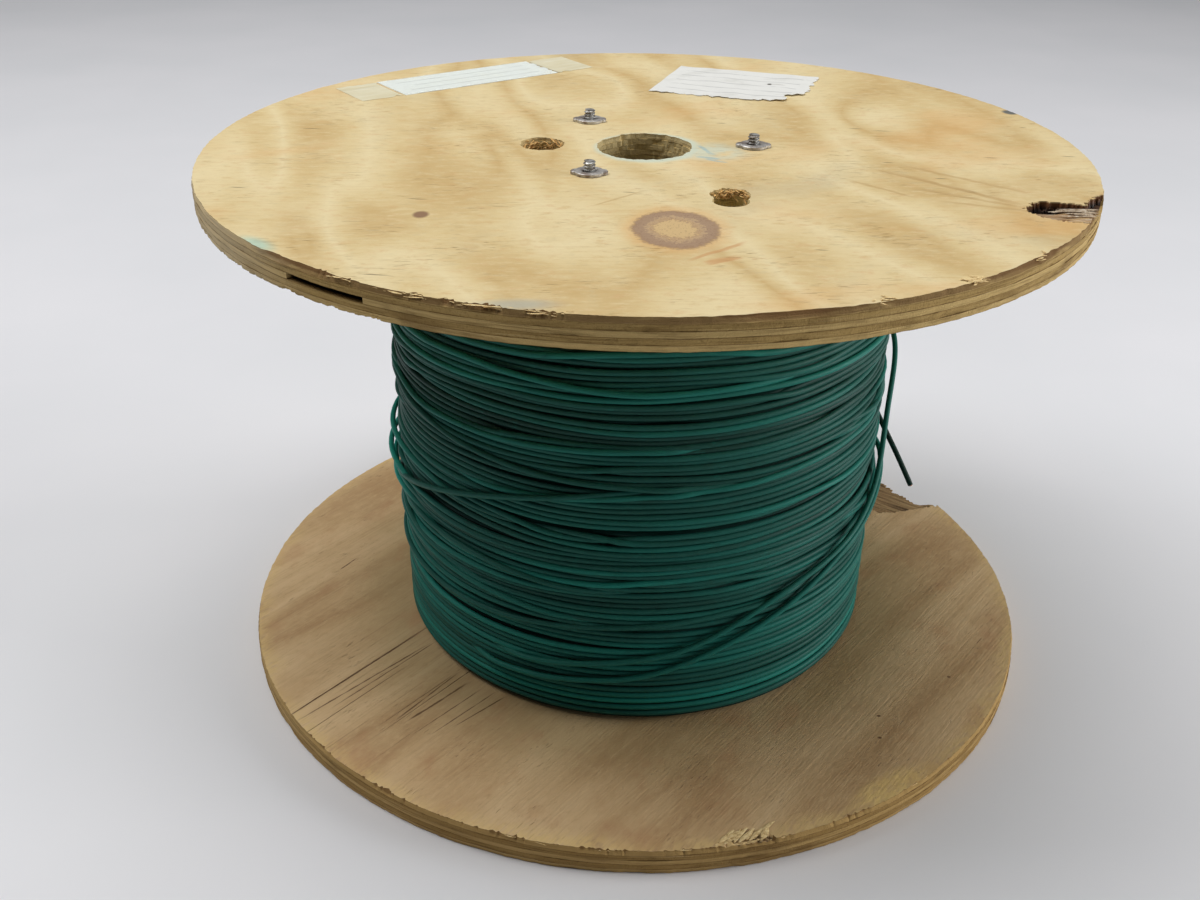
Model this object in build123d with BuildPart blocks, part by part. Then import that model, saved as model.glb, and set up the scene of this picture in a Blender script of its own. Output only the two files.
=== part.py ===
from build123d import *
import os
from math import cos, radians, sin

# A plywood cable drum, standing on one flange, wound with thin insulated wire.
# Millimetres, +Z up, origin at the middle of the lower flange's underside, front towards -Y.

# Flanges: two plywood discs on one axis
flange_radius = 177.8
flange_thickness = 11.1
flange_gap = 200.0
rim_chamfer = 0.8
arbor_radius = 19.05
ply_count = 5
ply = flange_thickness / ply_count
cut_overrun = 5.0
seat_clearance = 0.2

# Barrel: a fibreboard tube let into a groove in each flange
barrel_radius = 60.0
barrel_wall = 6.0
groove_depth = 3.0

# Winding: the wound coil, a little fuller low down than at its top, its outside in bands of turns
wire_diameter = 2.4
winding_foot_radius = 106.0
winding_belly_radius = 106.6
winding_head_radius = 104.6
winding_belly_height_share = 0.38
winding_band_count = 12
winding_band_rise = 0.9
winding_head_room = 0.5
winding_bore_clearance = 0.3
strand_clearance = 0.3

# Tie bolts on a common circle, heads let into the lower flange, stud ends standing above the tee nuts
bolt_count = 3
bolt_inset = 9.55
bolt_start_angle = 2.4
bolt_diameter = 4.8
bolt_clearance = 0.2
bolt_stand = 4.0
bolt_tip_chamfer = 0.6
bolt_head_radius = 6.4
bolt_head_height = 2.4
bolt_head_chamfer = 1.2
counterbore_radius = 7.2
counterbore_depth = 2.8

# Tee nuts: a stamped round plate on the wood, with an ear on two sides and a sleeve in the flange
tee_plate_radius = 5.7
tee_plate_thickness = 1.2
tee_span = 14.4
tee_ear_width = 4.6
tee_sleeve_radius = 3.5
tee_sleeve_length = 7.5

# Holes of the upper flange beside the arbor hole: one inside the barrel's bore, one just outside the barrel
drive_hole_radius = 8.9
drive_inset = 12.4
drive_angle = 178.6
start_hole_radius = 7.6
start_offset = 9.7
start_angle = -62.9

# Broken places: outlines in shares of the flange radius, with their angles, and how deep they go
split_radius_shares = (0.862, 0.868, 0.886, 0.924, 0.965, 0.971, 0.99, 1.03, 1.03, 0.945, 0.905, 0.883)
split_angles = (-27.8, -24.5, -23.5, -22.8, -22.5, -20.2, -17.8, -17.5, -28.8, -30.2, -30.0, -29.3)
split_depth = 1.4 * ply
crack_radius_shares = (0.868, 0.872, 0.888, 0.924, 0.962, 0.96, 0.92, 0.885)
crack_angles = (-27.0, -25.0, -24.0, -23.3, -23.0, -24.3, -25.0, -26.3)
crack_depth = 3 * ply
rim_chip_radius_shares = (1.03, 0.965, 0.955, 0.975, 1.03)
rim_chip_angles = (-79.5, -77.0, -74.5, -72.5, -71.0)
rim_chip_depth = ply
broken_edge_radius_shares = (1.04, 0.99, 0.958, 0.945, 0.939, 0.944, 0.965, 1.04)
broken_edge_angles = (25.4, 26.4, 27.1, 29.4, 33.0, 37.0, 40.5, 43.0)
torn_ply_radius_shares = (1.04, 0.927, 0.888, 0.852, 0.809, 0.8, 0.83, 0.9, 1.04)
torn_ply_angles = (25.0, 25.2, 25.5, 26.0, 27.1, 31.0, 36.0, 41.0, 44.0)
torn_ply_depth = ply
core_gap_angle = -124.0
core_gap_length = 33.0
core_gap_depth = 9.0
core_gap_height = 1.8
core_gap_below_top = 4.4

# Paper and tape on the upper flange
paper_thickness = 0.2
tape_thickness = 0.15
torn_label_length = 70.0
torn_label_width = 56.0
torn_label_radius_share = 0.664
torn_label_angle = 68.6
torn_label_turn = -17.0
torn_length_shares = (-0.5, 0.5, 0.5, 0.38, 0.42, 0.2, -0.5)
torn_width_shares = (0.5, 0.5, -0.18, -0.26, -0.42, -0.5, -0.5)
taped_label_length = 84.0
taped_label_width = 30.0
taped_label_radius_share = 0.808
taped_label_angle = 126.8
taped_label_turn = 37.0
tape_length = 127.0
tape_width = 29.0

# Stray turns by points: angle, height as a share of the winding, stand-off as a share of the wire diameter
wire_sides = 6
stray_1_angles = (-128.0, -104.0, -80.0, -56.0, -33.0, -11.0, 6.0, 24.0, 46.0)
stray_1_height_shares = (0.118, 0.141, 0.18, 0.282, 0.345, 0.405, 0.56, 0.66, 0.71)
stray_1_stand_off_shares = (0.0, 0.0, 0.0, 0.0, 0.3, 0.8, 2.4, 2.0, 0.2)
stray_2_angles = (-136.0, -112.0, -88.0, -64.0, -40.0, -20.0, -3.0, 13.0)
stray_2_height_shares = (0.087, 0.092, 0.12, 0.205, 0.292, 0.335, 0.38, 0.41)
stray_2_stand_off_shares = (0.0, 0.0, 0.0, 0.0, 0.0, 0.3, 0.9, 0.1)
stray_3_angles = (-176.0, -156.0, -136.0, -116.0, -96.0, -76.0)
stray_3_height_shares = (0.345, 0.395, 0.455, 0.51, 0.545, 0.555)
stray_3_stand_off_shares = (0.0, 0.0, 0.0, 0.0, 0.0, 0.0)

# Route of the wire's free end, from the winding out to the cut end
tail_route = (
    (98.3, 45.0, 103.0),
    (107.6, 27.5, 100.2),
    (114.2, 10.0, 89.5),
    (120.5, 1.7, 79.0),
    (126.0, -4.0, 68.4),
)

# Worked-out places
arc_share = 0.45
wire_radius = wire_diameter / 2
lower_top = flange_thickness
upper_bottom = lower_top + flange_gap
upper_top = upper_bottom + flange_thickness
barrel_bottom = lower_top - groove_depth
barrel_height = flange_gap + 2 * groove_depth
barrel_bore_radius = barrel_radius - barrel_wall
winding_top = upper_bottom - winding_head_room
winding_belly_z = lower_top + winding_belly_height_share * flange_gap
winding_bore_radius = barrel_radius + winding_bore_clearance
winding_outside = Edge.make_three_point_arc(
    (winding_foot_radius, lower_top),
    (winding_belly_radius, winding_belly_z),
    (winding_head_radius, winding_top),
)
bolt_circle_radius = barrel_bore_radius - bolt_inset
drive_circle_radius = barrel_bore_radius - drive_inset
start_circle_radius = barrel_radius + start_offset
bolt_hole_radius = bolt_diameter / 2 + bolt_clearance
tee_hole_radius = tee_sleeve_radius + seat_clearance
bolt_top = upper_top + tee_plate_thickness + bolt_stand
lower_breaks = (
    (broken_edge_radius_shares, broken_edge_angles, flange_thickness),
    (torn_ply_radius_shares, torn_ply_angles, torn_ply_depth),
    (rim_chip_radius_shares, rim_chip_angles, rim_chip_depth),
)
upper_breaks = (
    (split_radius_shares, split_angles, split_depth),
    (crack_radius_shares, crack_angles, crack_depth),
)
stray_turns = (
    (stray_1_angles, stray_1_height_shares, stray_1_stand_off_shares),
    (stray_2_angles, stray_2_height_shares, stray_2_stand_off_shares),
    (stray_3_angles, stray_3_height_shares, stray_3_stand_off_shares),
)
bolt_places = [bolt_start_angle + 360 / bolt_count * step for step in range(bolt_count)]

os.makedirs("parts", exist_ok=True)


def polar(radius, angle, height=0.0):
    """A point at this radius and angle about the drum's axis."""
    return Vector(radius * cos(radians(angle)), radius * sin(radians(angle)), height)


def broken_outline(radius_shares, angles):
    """Corners of a broken place, from shares of the flange radius."""
    return [polar(flange_radius * share, angle) for share, angle in zip(radius_shares, angles)]


def bend_radii(corners):
    """The largest tangent arcs that the runs of a route leave room for."""
    radii = []
    for before, corner, after in zip(corners, corners[1:], corners[2:]):
        arriving = corner - before
        leaving = after - corner
        half_turn = radians(arriving.get_angle(leaving) / 2)
        shorter_run = min(arriving.length, leaving.length)
        radii.append(arc_share * shorter_run * cos(half_turn) / sin(half_turn))
    return radii


def wire_along(corners, label):
    """A plain wire along straight runs joined by tangent arcs."""
    radii = bend_radii(corners)
    print(label, "bend radii", [round(radius, 1) for radius in radii])
    with BuildPart() as wire:
        with BuildLine() as route:
            FilletPolyline(*corners, radius=radii)
        path = route.wire()
        with BuildSketch(Plane(origin=path @ 0, z_dir=path % 0)) as section:
            RegularPolygon(wire_radius, wire_sides)
        sweep()
    volume_share = wire.part.volume / section.sketch.area / path.length
    print(label, "length", round(path.length, 1), "volume over section times length", round(volume_share, 4))
    wire.part.label = label
    export_step(wire.part, f"parts/{label}.step")


# Lower flange: groove for the barrel on top, counterbores for the bolt heads below, broken at its back right
with BuildPart() as lower_flange:
    Cylinder(flange_radius, flange_thickness, align=(Align.CENTER, Align.CENTER, Align.MIN))
    chamfer(lower_flange.edges().filter_by(GeomType.CIRCLE), length=rim_chamfer)
    with BuildSketch(Plane.XY.offset(lower_top)):
        Circle(barrel_radius + seat_clearance)
        Circle(barrel_bore_radius - seat_clearance, mode=Mode.SUBTRACT)
    extrude(amount=-groove_depth, mode=Mode.SUBTRACT)
    with BuildSketch():
        Circle(arbor_radius)
        with PolarLocations(bolt_circle_radius, bolt_count, start_angle=bolt_start_angle):
            Circle(bolt_hole_radius)
    extrude(amount=flange_thickness, mode=Mode.SUBTRACT)
    with BuildSketch():
        with PolarLocations(bolt_circle_radius, bolt_count, start_angle=bolt_start_angle):
            Circle(counterbore_radius)
    extrude(amount=counterbore_depth, mode=Mode.SUBTRACT)
    for radius_shares, angles, depth in lower_breaks:
        with BuildSketch(Plane.XY.offset(lower_top)):
            with BuildLine():
                Polyline(*broken_outline(radius_shares, angles), close=True)
            make_face()
        extrude(amount=-depth, mode=Mode.SUBTRACT)
lower_flange.part.label = "lower_flange"
export_step(lower_flange.part, "parts/lower_flange.step")

# Upper flange: arbor, drive and start holes, holes for the tee nuts, a split rim and a gap in a core ply
with BuildPart() as upper_flange:
    with Locations((0, 0, upper_bottom)):
        Cylinder(flange_radius, flange_thickness, align=(Align.CENTER, Align.CENTER, Align.MIN))
    chamfer(upper_flange.edges().filter_by(GeomType.CIRCLE), length=rim_chamfer)
    with BuildSketch(Plane.XY.offset(upper_bottom)):
        Circle(barrel_radius + seat_clearance)
        Circle(barrel_bore_radius - seat_clearance, mode=Mode.SUBTRACT)
    extrude(amount=groove_depth, mode=Mode.SUBTRACT)
    with BuildSketch(Plane.XY.offset(upper_bottom)):
        Circle(arbor_radius)
        with PolarLocations(bolt_circle_radius, bolt_count, start_angle=bolt_start_angle):
            Circle(tee_hole_radius)
        with PolarLocations(drive_circle_radius, 1, start_angle=drive_angle):
            Circle(drive_hole_radius)
        with PolarLocations(start_circle_radius, 1, start_angle=start_angle):
            Circle(start_hole_radius)
    extrude(amount=flange_thickness, mode=Mode.SUBTRACT)
    for radius_shares, angles, depth in upper_breaks:
        with BuildSketch(Plane.XY.offset(upper_top)):
            with BuildLine():
                Polyline(*broken_outline(radius_shares, angles), close=True)
            make_face()
        extrude(amount=-depth, mode=Mode.SUBTRACT)
    with BuildSketch(Plane.XY.offset(upper_top - core_gap_below_top)):
        with PolarLocations(flange_radius - core_gap_depth, 1, start_angle=core_gap_angle):
            Rectangle(
                core_gap_depth + cut_overrun, core_gap_length, align=(Align.MIN, Align.CENTER)
            )
    extrude(amount=core_gap_height / 2, both=True, mode=Mode.SUBTRACT)
upper_flange.part.label = "upper_flange"
export_step(upper_flange.part, "parts/upper_flange.step")

# Barrel: a plain tube with its ends in the grooves of the flanges
with BuildPart() as barrel:
    with BuildSketch(Plane.XY.offset(barrel_bottom)):
        Circle(barrel_radius)
        Circle(barrel_bore_radius, mode=Mode.SUBTRACT)
    extrude(amount=barrel_height)
barrel.part.label = "barrel"
export_step(barrel.part, "parts/barrel.step")

# Winding: half section with a bellied outside that rises and dips in bands, turned about the drum's axis
band_dip = Vector(winding_band_rise, 0)
outside_corners = []
for band in range(winding_band_count):
    outside_corners.append(winding_outside @ (band / winding_band_count) - band_dip)
    outside_corners.append(winding_outside @ ((band + 0.5) / winding_band_count))
outside_corners.append(winding_outside @ 1 - band_dip)
with BuildPart() as wire_winding:
    with BuildSketch(Plane.XZ):
        with BuildLine():
            Polyline(
                *outside_corners,
                (winding_bore_radius, winding_top),
                (winding_bore_radius, lower_top),
                close=True,
            )
        make_face()
    revolve(axis=Axis.Z)
wire_winding.part.label = "wire_winding"
export_step(wire_winding.part, "parts/wire_winding.step")

# Tie bolts and tee nuts, one of each at every bolt place
for number, angle in enumerate(bolt_places, start=1):
    place = polar(bolt_circle_radius, angle)
    with BuildPart() as tie_bolt:
        with BuildSketch(Plane(place).offset(counterbore_depth)):
            Circle(bolt_head_radius)
        extrude(amount=-bolt_head_height)
        chamfer(tie_bolt.edges().sort_by(Axis.Z)[0], length=bolt_head_chamfer)
        with BuildSketch(Plane(place).offset(counterbore_depth)):
            Circle(bolt_diameter / 2)
        extrude(amount=bolt_top - counterbore_depth)
        chamfer(tie_bolt.edges().sort_by(Axis.Z)[-1], length=bolt_tip_chamfer)
    tie_bolt.part.label = f"tie_bolt_{number}"
    export_step(tie_bolt.part, f"parts/tie_bolt_{number}.step")

    with BuildPart() as tee_nut:
        with BuildSketch(Plane(place).offset(upper_top)):
            Circle(tee_plate_radius)
            SlotOverall(tee_span, tee_ear_width)
        extrude(amount=tee_plate_thickness)
        with BuildSketch(Plane(place).offset(upper_top)):
            Circle(tee_sleeve_radius)
        extrude(amount=-tee_sleeve_length)
        with BuildSketch(Plane(place).offset(upper_top - tee_sleeve_length)):
            Circle(bolt_hole_radius)
        extrude(amount=tee_sleeve_length + tee_plate_thickness, mode=Mode.SUBTRACT)
    tee_nut.part.label = f"tee_nut_{number}"
    export_step(tee_nut.part, f"parts/tee_nut_{number}.step")

# Stray turns: wires that cross the winding, standing off where they are slack
for number, (angles, height_shares, stand_off_shares) in enumerate(stray_turns, start=1):
    corners = []
    points = zip(angles, height_shares, stand_off_shares)
    for index, (angle, height_share, stand_off_share) in enumerate(points):
        near = angles[max(index - 1, 0) : index + 2]
        half_step = max(abs(angle - other) for other in near) / 2
        on_winding = winding_outside @ height_share
        clear_radius = on_winding.X + strand_clearance + wire_radius
        corner_radius = clear_radius / cos(radians(half_step)) + stand_off_share * wire_diameter
        corners.append(polar(corner_radius, angle, on_winding.Y))
    wire_along(corners, f"stray_turn_{number}")

# Free end of the wire
wire_along([Vector(*point) for point in tail_route], "wire_tail")

# Torn paper label with its front right corner gone
torn_place = polar(flange_radius * torn_label_radius_share, torn_label_angle, upper_top)
with BuildPart() as paper_label_torn:
    with BuildSketch(Plane(torn_place).rotated((0, 0, torn_label_turn))):
        with BuildLine():
            Polyline(
                *[
                    (along * torn_label_length, across * torn_label_width)
                    for along, across in zip(torn_length_shares, torn_width_shares)
                ],
                close=True,
            )
        make_face()
    extrude(amount=paper_thickness)
paper_label_torn.part.label = "paper_label_torn"
export_step(paper_label_torn.part, "parts/paper_label_torn.step")

# Second paper label, with a longer strip of clear tape over it
taped_place = polar(flange_radius * taped_label_radius_share, taped_label_angle, upper_top)
taped_plane = Plane(taped_place).rotated((0, 0, taped_label_turn))
with BuildPart() as paper_label_taped:
    with BuildSketch(taped_plane):
        Rectangle(taped_label_length, taped_label_width)
    extrude(amount=paper_thickness)
paper_label_taped.part.label = "paper_label_taped"
export_step(paper_label_taped.part, "parts/paper_label_taped.step")

with BuildPart() as label_tape:
    with BuildSketch(taped_plane.offset(paper_thickness)):
        Rectangle(tape_length, tape_width)
    extrude(amount=tape_thickness)
label_tape.part.label = "label_tape"
export_step(label_tape.part, "parts/label_tape.step")
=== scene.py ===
from math import atan2, cos, degrees, hypot, pi, radians, sin, tau

import bpy
import numpy as np
from mathutils import Matrix, Vector
from mathutils.geometry import delaunay_2d_cdt


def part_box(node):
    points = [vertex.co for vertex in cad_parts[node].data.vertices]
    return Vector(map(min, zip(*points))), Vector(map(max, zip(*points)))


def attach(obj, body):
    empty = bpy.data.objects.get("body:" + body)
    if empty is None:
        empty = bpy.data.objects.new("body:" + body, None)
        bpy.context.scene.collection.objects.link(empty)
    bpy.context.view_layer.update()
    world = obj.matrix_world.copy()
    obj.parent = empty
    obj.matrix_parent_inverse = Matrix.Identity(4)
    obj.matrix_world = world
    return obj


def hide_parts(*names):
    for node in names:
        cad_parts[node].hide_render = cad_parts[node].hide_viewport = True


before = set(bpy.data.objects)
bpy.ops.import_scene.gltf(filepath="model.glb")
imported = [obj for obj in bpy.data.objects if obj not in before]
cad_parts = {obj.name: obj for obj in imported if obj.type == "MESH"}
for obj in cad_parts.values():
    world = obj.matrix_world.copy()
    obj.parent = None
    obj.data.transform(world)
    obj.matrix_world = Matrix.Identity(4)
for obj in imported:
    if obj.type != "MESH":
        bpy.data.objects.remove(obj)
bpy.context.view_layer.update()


# Lower flange: a disc sawn from five-ply softwood sheet, brown with age and handling.
# Its rim is broken through at the back right, with the face ply torn off around the break,
# and a bruise at the front has splintered the face ply.

upper_low, upper_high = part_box("upper_flange")
flange_radius = upper_high.x
flange_thickness = upper_high.z - upper_low.z
lower_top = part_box("lower_flange")[1].z
ply_count = 5
ply = flange_thickness / ply_count
arbor_radius = 0.01905
rim_steps = 1440
hole_steps = 160
face_step = 0.006
edge_room = 0.0006
fine_margin = 2.5
stack_step = 0.00002
hole_wear = 0.0003


def rgb(red, green, blue):
    """A colour as it looks on a screen, 0 to 255, in the linear values that a shader takes."""
    def linear(level):
        share = level / 255
        return share / 12.92 if share <= 0.04045 else ((share + 0.055) / 1.055) ** 2.4
    return (linear(red), linear(green), linear(blue), 1.0)


class Finish:
    """One procedural finish: a material, and short calls that add nodes to it."""

    def __init__(self, name, constants):
        self.material = bpy.data.materials.new(name)
        self.material.use_nodes = True
        self.tree = self.material.node_tree
        self.surface = self.tree.nodes["Principled BSDF"]
        self.where = self.add("TexCoord").outputs["Object"]
        self.normal = None
        self.tone = None
        for socket, value in constants.items():
            self.surface.inputs[socket].default_value = value

    def add(self, kind, **settings):
        node = self.tree.nodes.new("ShaderNode" + kind)
        for name, value in settings.items():
            setattr(node, name, value)
        return node

    def feed(self, socket, value):
        if isinstance(value, bpy.types.NodeSocket):
            self.tree.links.new(value, socket)
        else:
            socket.default_value = value

    def calc(self, operation, *values):
        node = self.add("Math", operation=operation)
        for socket, value in zip(node.inputs, values):
            self.feed(socket, value)
        return node.outputs[0]

    def times(self, *masks):
        """Masks and numbers multiplied together."""
        product, *others = masks
        for mask in others:
            product = self.calc("MULTIPLY", product, mask)
        return product

    def fade(self, value, start, end):
        """0 at start, 1 at end, smooth between."""
        node = self.add("MapRange", interpolation_type="SMOOTHSTEP")
        self.feed(node.inputs["Value"], value)
        node.inputs["From Min"].default_value = start
        node.inputs["From Max"].default_value = end
        return node.outputs["Result"]

    def mix(self, share, under, over):
        node = self.add("Mix", data_type="RGBA")
        self.feed(node.inputs["Factor"], share)
        self.feed(node.inputs[6], under)
        self.feed(node.inputs[7], over)
        return node.outputs[2]

    def ramp(self, value, *stops):
        node = self.add("ValToRGB")
        band = node.color_ramp
        while len(band.elements) < len(stops):
            band.elements.new(0.5)
        for element, (place, colour) in zip(band.elements, stops):
            element.position = place
            element.color = colour
        self.feed(node.inputs["Fac"], value)
        return node.outputs["Color"]

    def stretch(self, size, turn=0.0, middle=(0, 0, 0)):
        """Coordinates from a middle, turned about the drum's axis, in multiples of a size."""
        node = self.add("Mapping", vector_type="TEXTURE")
        self.feed(node.inputs["Vector"], self.where)
        node.inputs["Location"].default_value = middle
        node.inputs["Rotation"].default_value = (0, 0, radians(turn))
        node.inputs["Scale"].default_value = size
        return node.outputs["Vector"]

    def noise(self, size, turn=0.0, detail=2.0, roughness=0.5, distortion=0.0):
        node = self.add("TexNoise")
        self.feed(node.inputs["Vector"], self.stretch(size, turn))
        node.inputs["Scale"].default_value = 1.0
        node.inputs["Detail"].default_value = detail
        node.inputs["Roughness"].default_value = roughness
        node.inputs["Distortion"].default_value = distortion
        return node.outputs["Fac"]

    def patches(self, start, end, *size_and_turn, **noise_settings):
        """Mask of random patches: a noise, faded from one of its levels to another."""
        return self.fade(self.noise(*size_and_turn, **noise_settings), start, end)

    def part(self, vector, axis):
        """One coordinate of a vector."""
        node = self.add("SeparateXYZ")
        self.feed(node.inputs[0], vector)
        return node.outputs[axis]

    def reach(self, middle, size, turn=0.0):
        """Distance from a place on a flange face, 1 at the edge of an oval of that half size."""
        node = self.add("VectorMath", operation="LENGTH")
        self.feed(node.inputs[0], self.stretch((*size, 10.0), turn, (*middle, 0)))
        return node.outputs["Value"]

    def spot(self, middle, size, turn=0.0, edge=1.0, core=0.5):
        """Mask of an oval on a flange face, 0 at its edge and 1 in its core, in shares of its size."""
        return self.fade(self.reach(middle, size, turn), edge, core)

    def streak(self, start, end, half_width, rough):
        """Mask of a thin line along a flange face, fading out at both ends, its sides as rough as asked."""
        run = (end[0] - start[0], end[1] - start[1])
        middle = ((start[0] + end[0]) / 2, (start[1] + end[1]) / 2, 0)
        turn = degrees(atan2(run[1], run[0]))
        place = self.stretch((hypot(*run) / 2, half_width, 1.0), turn, middle)
        shift = self.calc("SUBTRACT", self.noise((0.007, 0.0015, 1.0), turn, detail=3), 0.45)
        off_line = self.calc("ADD", self.calc("ABSOLUTE", self.part(place, "Y")), self.times(shift, rough))
        ends = self.fade(self.calc("ABSOLUTE", self.part(place, "X")), 1.0, 0.55)
        return self.times(self.fade(off_line, 1.0, 0.3), ends)

    def depth_below(self, top):
        """How far down from a height each point lies."""
        return self.calc("SUBTRACT", top, self.part(self.where, "Z"))

    def relief(self, height, depth):
        """Fine bumps of a depth from a mask, on top of those so far."""
        node = self.add("Bump")
        node.inputs["Distance"].default_value = depth
        self.feed(node.inputs["Height"], height)
        if self.normal:
            self.feed(node.inputs["Normal"], self.normal)
        self.normal = node.outputs["Normal"]
        self.feed(self.surface.inputs["Normal"], self.normal)

    def colour(self, value):
        """Sets the colour, which paint then goes over."""
        self.tone = value
        self.feed(self.surface.inputs["Base Color"], value)

    def paint(self, colour, mask, share=None):
        """Lays a colour over the one so far, as strongly as a mask, times a share where one is given."""
        self.colour(self.mix(self.times(mask, share) if share else mask, self.tone, colour))

    def paint_streaks(self, colour, streaks, rough, share):
        """Lays a colour over thin lines, each with its start, end and half width."""
        for start, end, half_width in streaks:
            self.paint(colour, self.streak(start, end, half_width, rough), share)

    def dull(self, value, low, high):
        """Roughness from low to high as a mask goes from 0 to 1."""
        node = self.add("MapRange")
        self.feed(node.inputs["Value"], value)
        node.inputs["To Min"].default_value = low
        node.inputs["To Max"].default_value = high
        self.feed(self.surface.inputs["Roughness"], node.outputs["Result"])


def put(name, data):
    """A new object in the scene."""
    thing = bpy.data.objects.new(name, data)
    bpy.context.scene.collection.objects.link(thing)
    return thing


def add_piece(name, points, faces, finishes, nodes, finish_numbers=None, crease=35):
    """A mesh piece of the drum, shown in place of the solids that it stands for."""
    mesh = bpy.data.meshes.new(name)
    mesh.from_pydata(points, [], faces)
    for finish in finishes:
        mesh.materials.append(finish.material)
    if finish_numbers is not None:
        mesh.polygons.foreach_set("material_index", finish_numbers)
    mesh.shade_smooth()
    mesh.set_sharp_from_angle(angle=radians(crease))
    mesh.update()
    piece = put(name, mesh)
    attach(piece, "root")
    if nodes:
        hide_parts(*nodes)
    return piece


def waves(x, y, size, seed):
    """Smooth random waves of about one size, mostly from -1 to 1."""
    draw = np.random.default_rng(seed)
    total = 0.0
    for heading, stretch, phase in draw.uniform((0, 0.6, 0), (tau, 1.6, tau), (7, 3)):
        total = total + np.sin((x * cos(heading) + y * sin(heading)) * tau / size / stretch + phase)
    return total / 2.6


def ease(value):
    """0 to 1, smooth at both ends."""
    share = np.clip(value, 0, 1)
    return share * share * (3 - 2 * share)


def polar(reach, angle):
    """A place at a reach and an angle about the drum's axis."""
    return reach * cos(radians(angle)), reach * sin(radians(angle))


def turned(places, angle):
    """Flat places turned about the drum's axis."""
    cosine, sine = cos(radians(angle)), sin(radians(angle))
    return places @ np.array(((cosine, sine), (-sine, cosine)))


def corners_at(shares, angles):
    """Corners of a broken place, in shares of the flange radius."""
    turns = np.radians(angles)
    return flange_radius * np.array(shares)[:, None] * np.column_stack((np.cos(turns), np.sin(turns)))


def depth_inside(places, corners):
    """How far places lie inside an outline, negative outside it."""
    inside = np.zeros(len(places), bool)
    nearest = np.full(len(places), np.inf)
    for start, end in zip(corners, np.roll(corners, -1, axis=0)):
        run = end - start
        along = np.clip((places - start) @ run / (run @ run), 0, 1)
        nearest = np.minimum(nearest, np.hypot(*(places - start - along[:, None] * run).T))
        crosses = (start[1] > places[:, 1]) != (end[1] > places[:, 1])
        rise = run[1] if run[1] else 1.0
        inside ^= crosses & (places[:, 0] < start[0] + (places[:, 1] - start[1]) / rise * run[0])
    return np.where(inside, nearest, -nearest)


def fill(loops, loose):
    """Triangles inside the first loop and outside the others, over all the points in that order."""
    edges = []
    for loop in loops:
        first = len(edges)
        edges += [(first + i, first + (i + 1) % len(loop)) for i in range(len(loop))]
    flat = np.vstack([*loops, loose])
    made = delaunay_2d_cdt([Vector(place) for place in flat], edges, [], 1, 1e-9)
    given = np.array([ids[0] for ids in made[3]])
    faces = given[np.array(made[2])]
    middles = flat[faces].mean(axis=1)
    for hole in loops[1:]:
        outside = depth_inside(middles, hole) < 0
        faces, middles = faces[outside], middles[outside]
    return faces.tolist()


def scatter(outer, holes, spacing, corners=None):
    """Points at an even spacing inside a round rim, clear of the holes, or only in and near an outline."""
    reach = flange_radius if corners is None else np.abs(corners).max() + spacing
    row = np.arange(-reach, reach, spacing)
    places = np.array([(x + (i % 2) * spacing / 2, y) for i, y in enumerate(row) for x in row])
    if corners is not None:
        places = places[depth_inside(places, corners) > -fine_margin * spacing]
    around = np.arctan2(places[:, 1], places[:, 0]) % tau
    rim = np.interp(around, np.linspace(0, tau, len(outer), endpoint=False), np.hypot(*outer.T), period=tau)
    clear = np.hypot(*places.T) < rim - edge_room
    for middle, loop in holes:
        clear &= np.hypot(*(places - middle).T) > np.hypot(*(loop - middle).T).max() + edge_room
    return places[clear]


def edge_loops(middle, radius, steps, top, inward, worn):
    """The edge of a disc or hole, two loops for each ply from the face down to the back."""
    angles = np.arange(steps) * tau / steps
    loops = []
    for number in range(ply_count):
        for side in (0, 1):
            reach = radius(angles, number)
            if (number, side) in ((0, 0), (ply_count - 1, 1)):
                reach = reach - inward * worn(angles, number)
            height = np.full(steps, top - (number + side) * ply)
            loops.append(np.column_stack((
                middle[0] + reach * np.cos(angles), middle[1] + reach * np.sin(angles), height)))
    return loops


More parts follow.
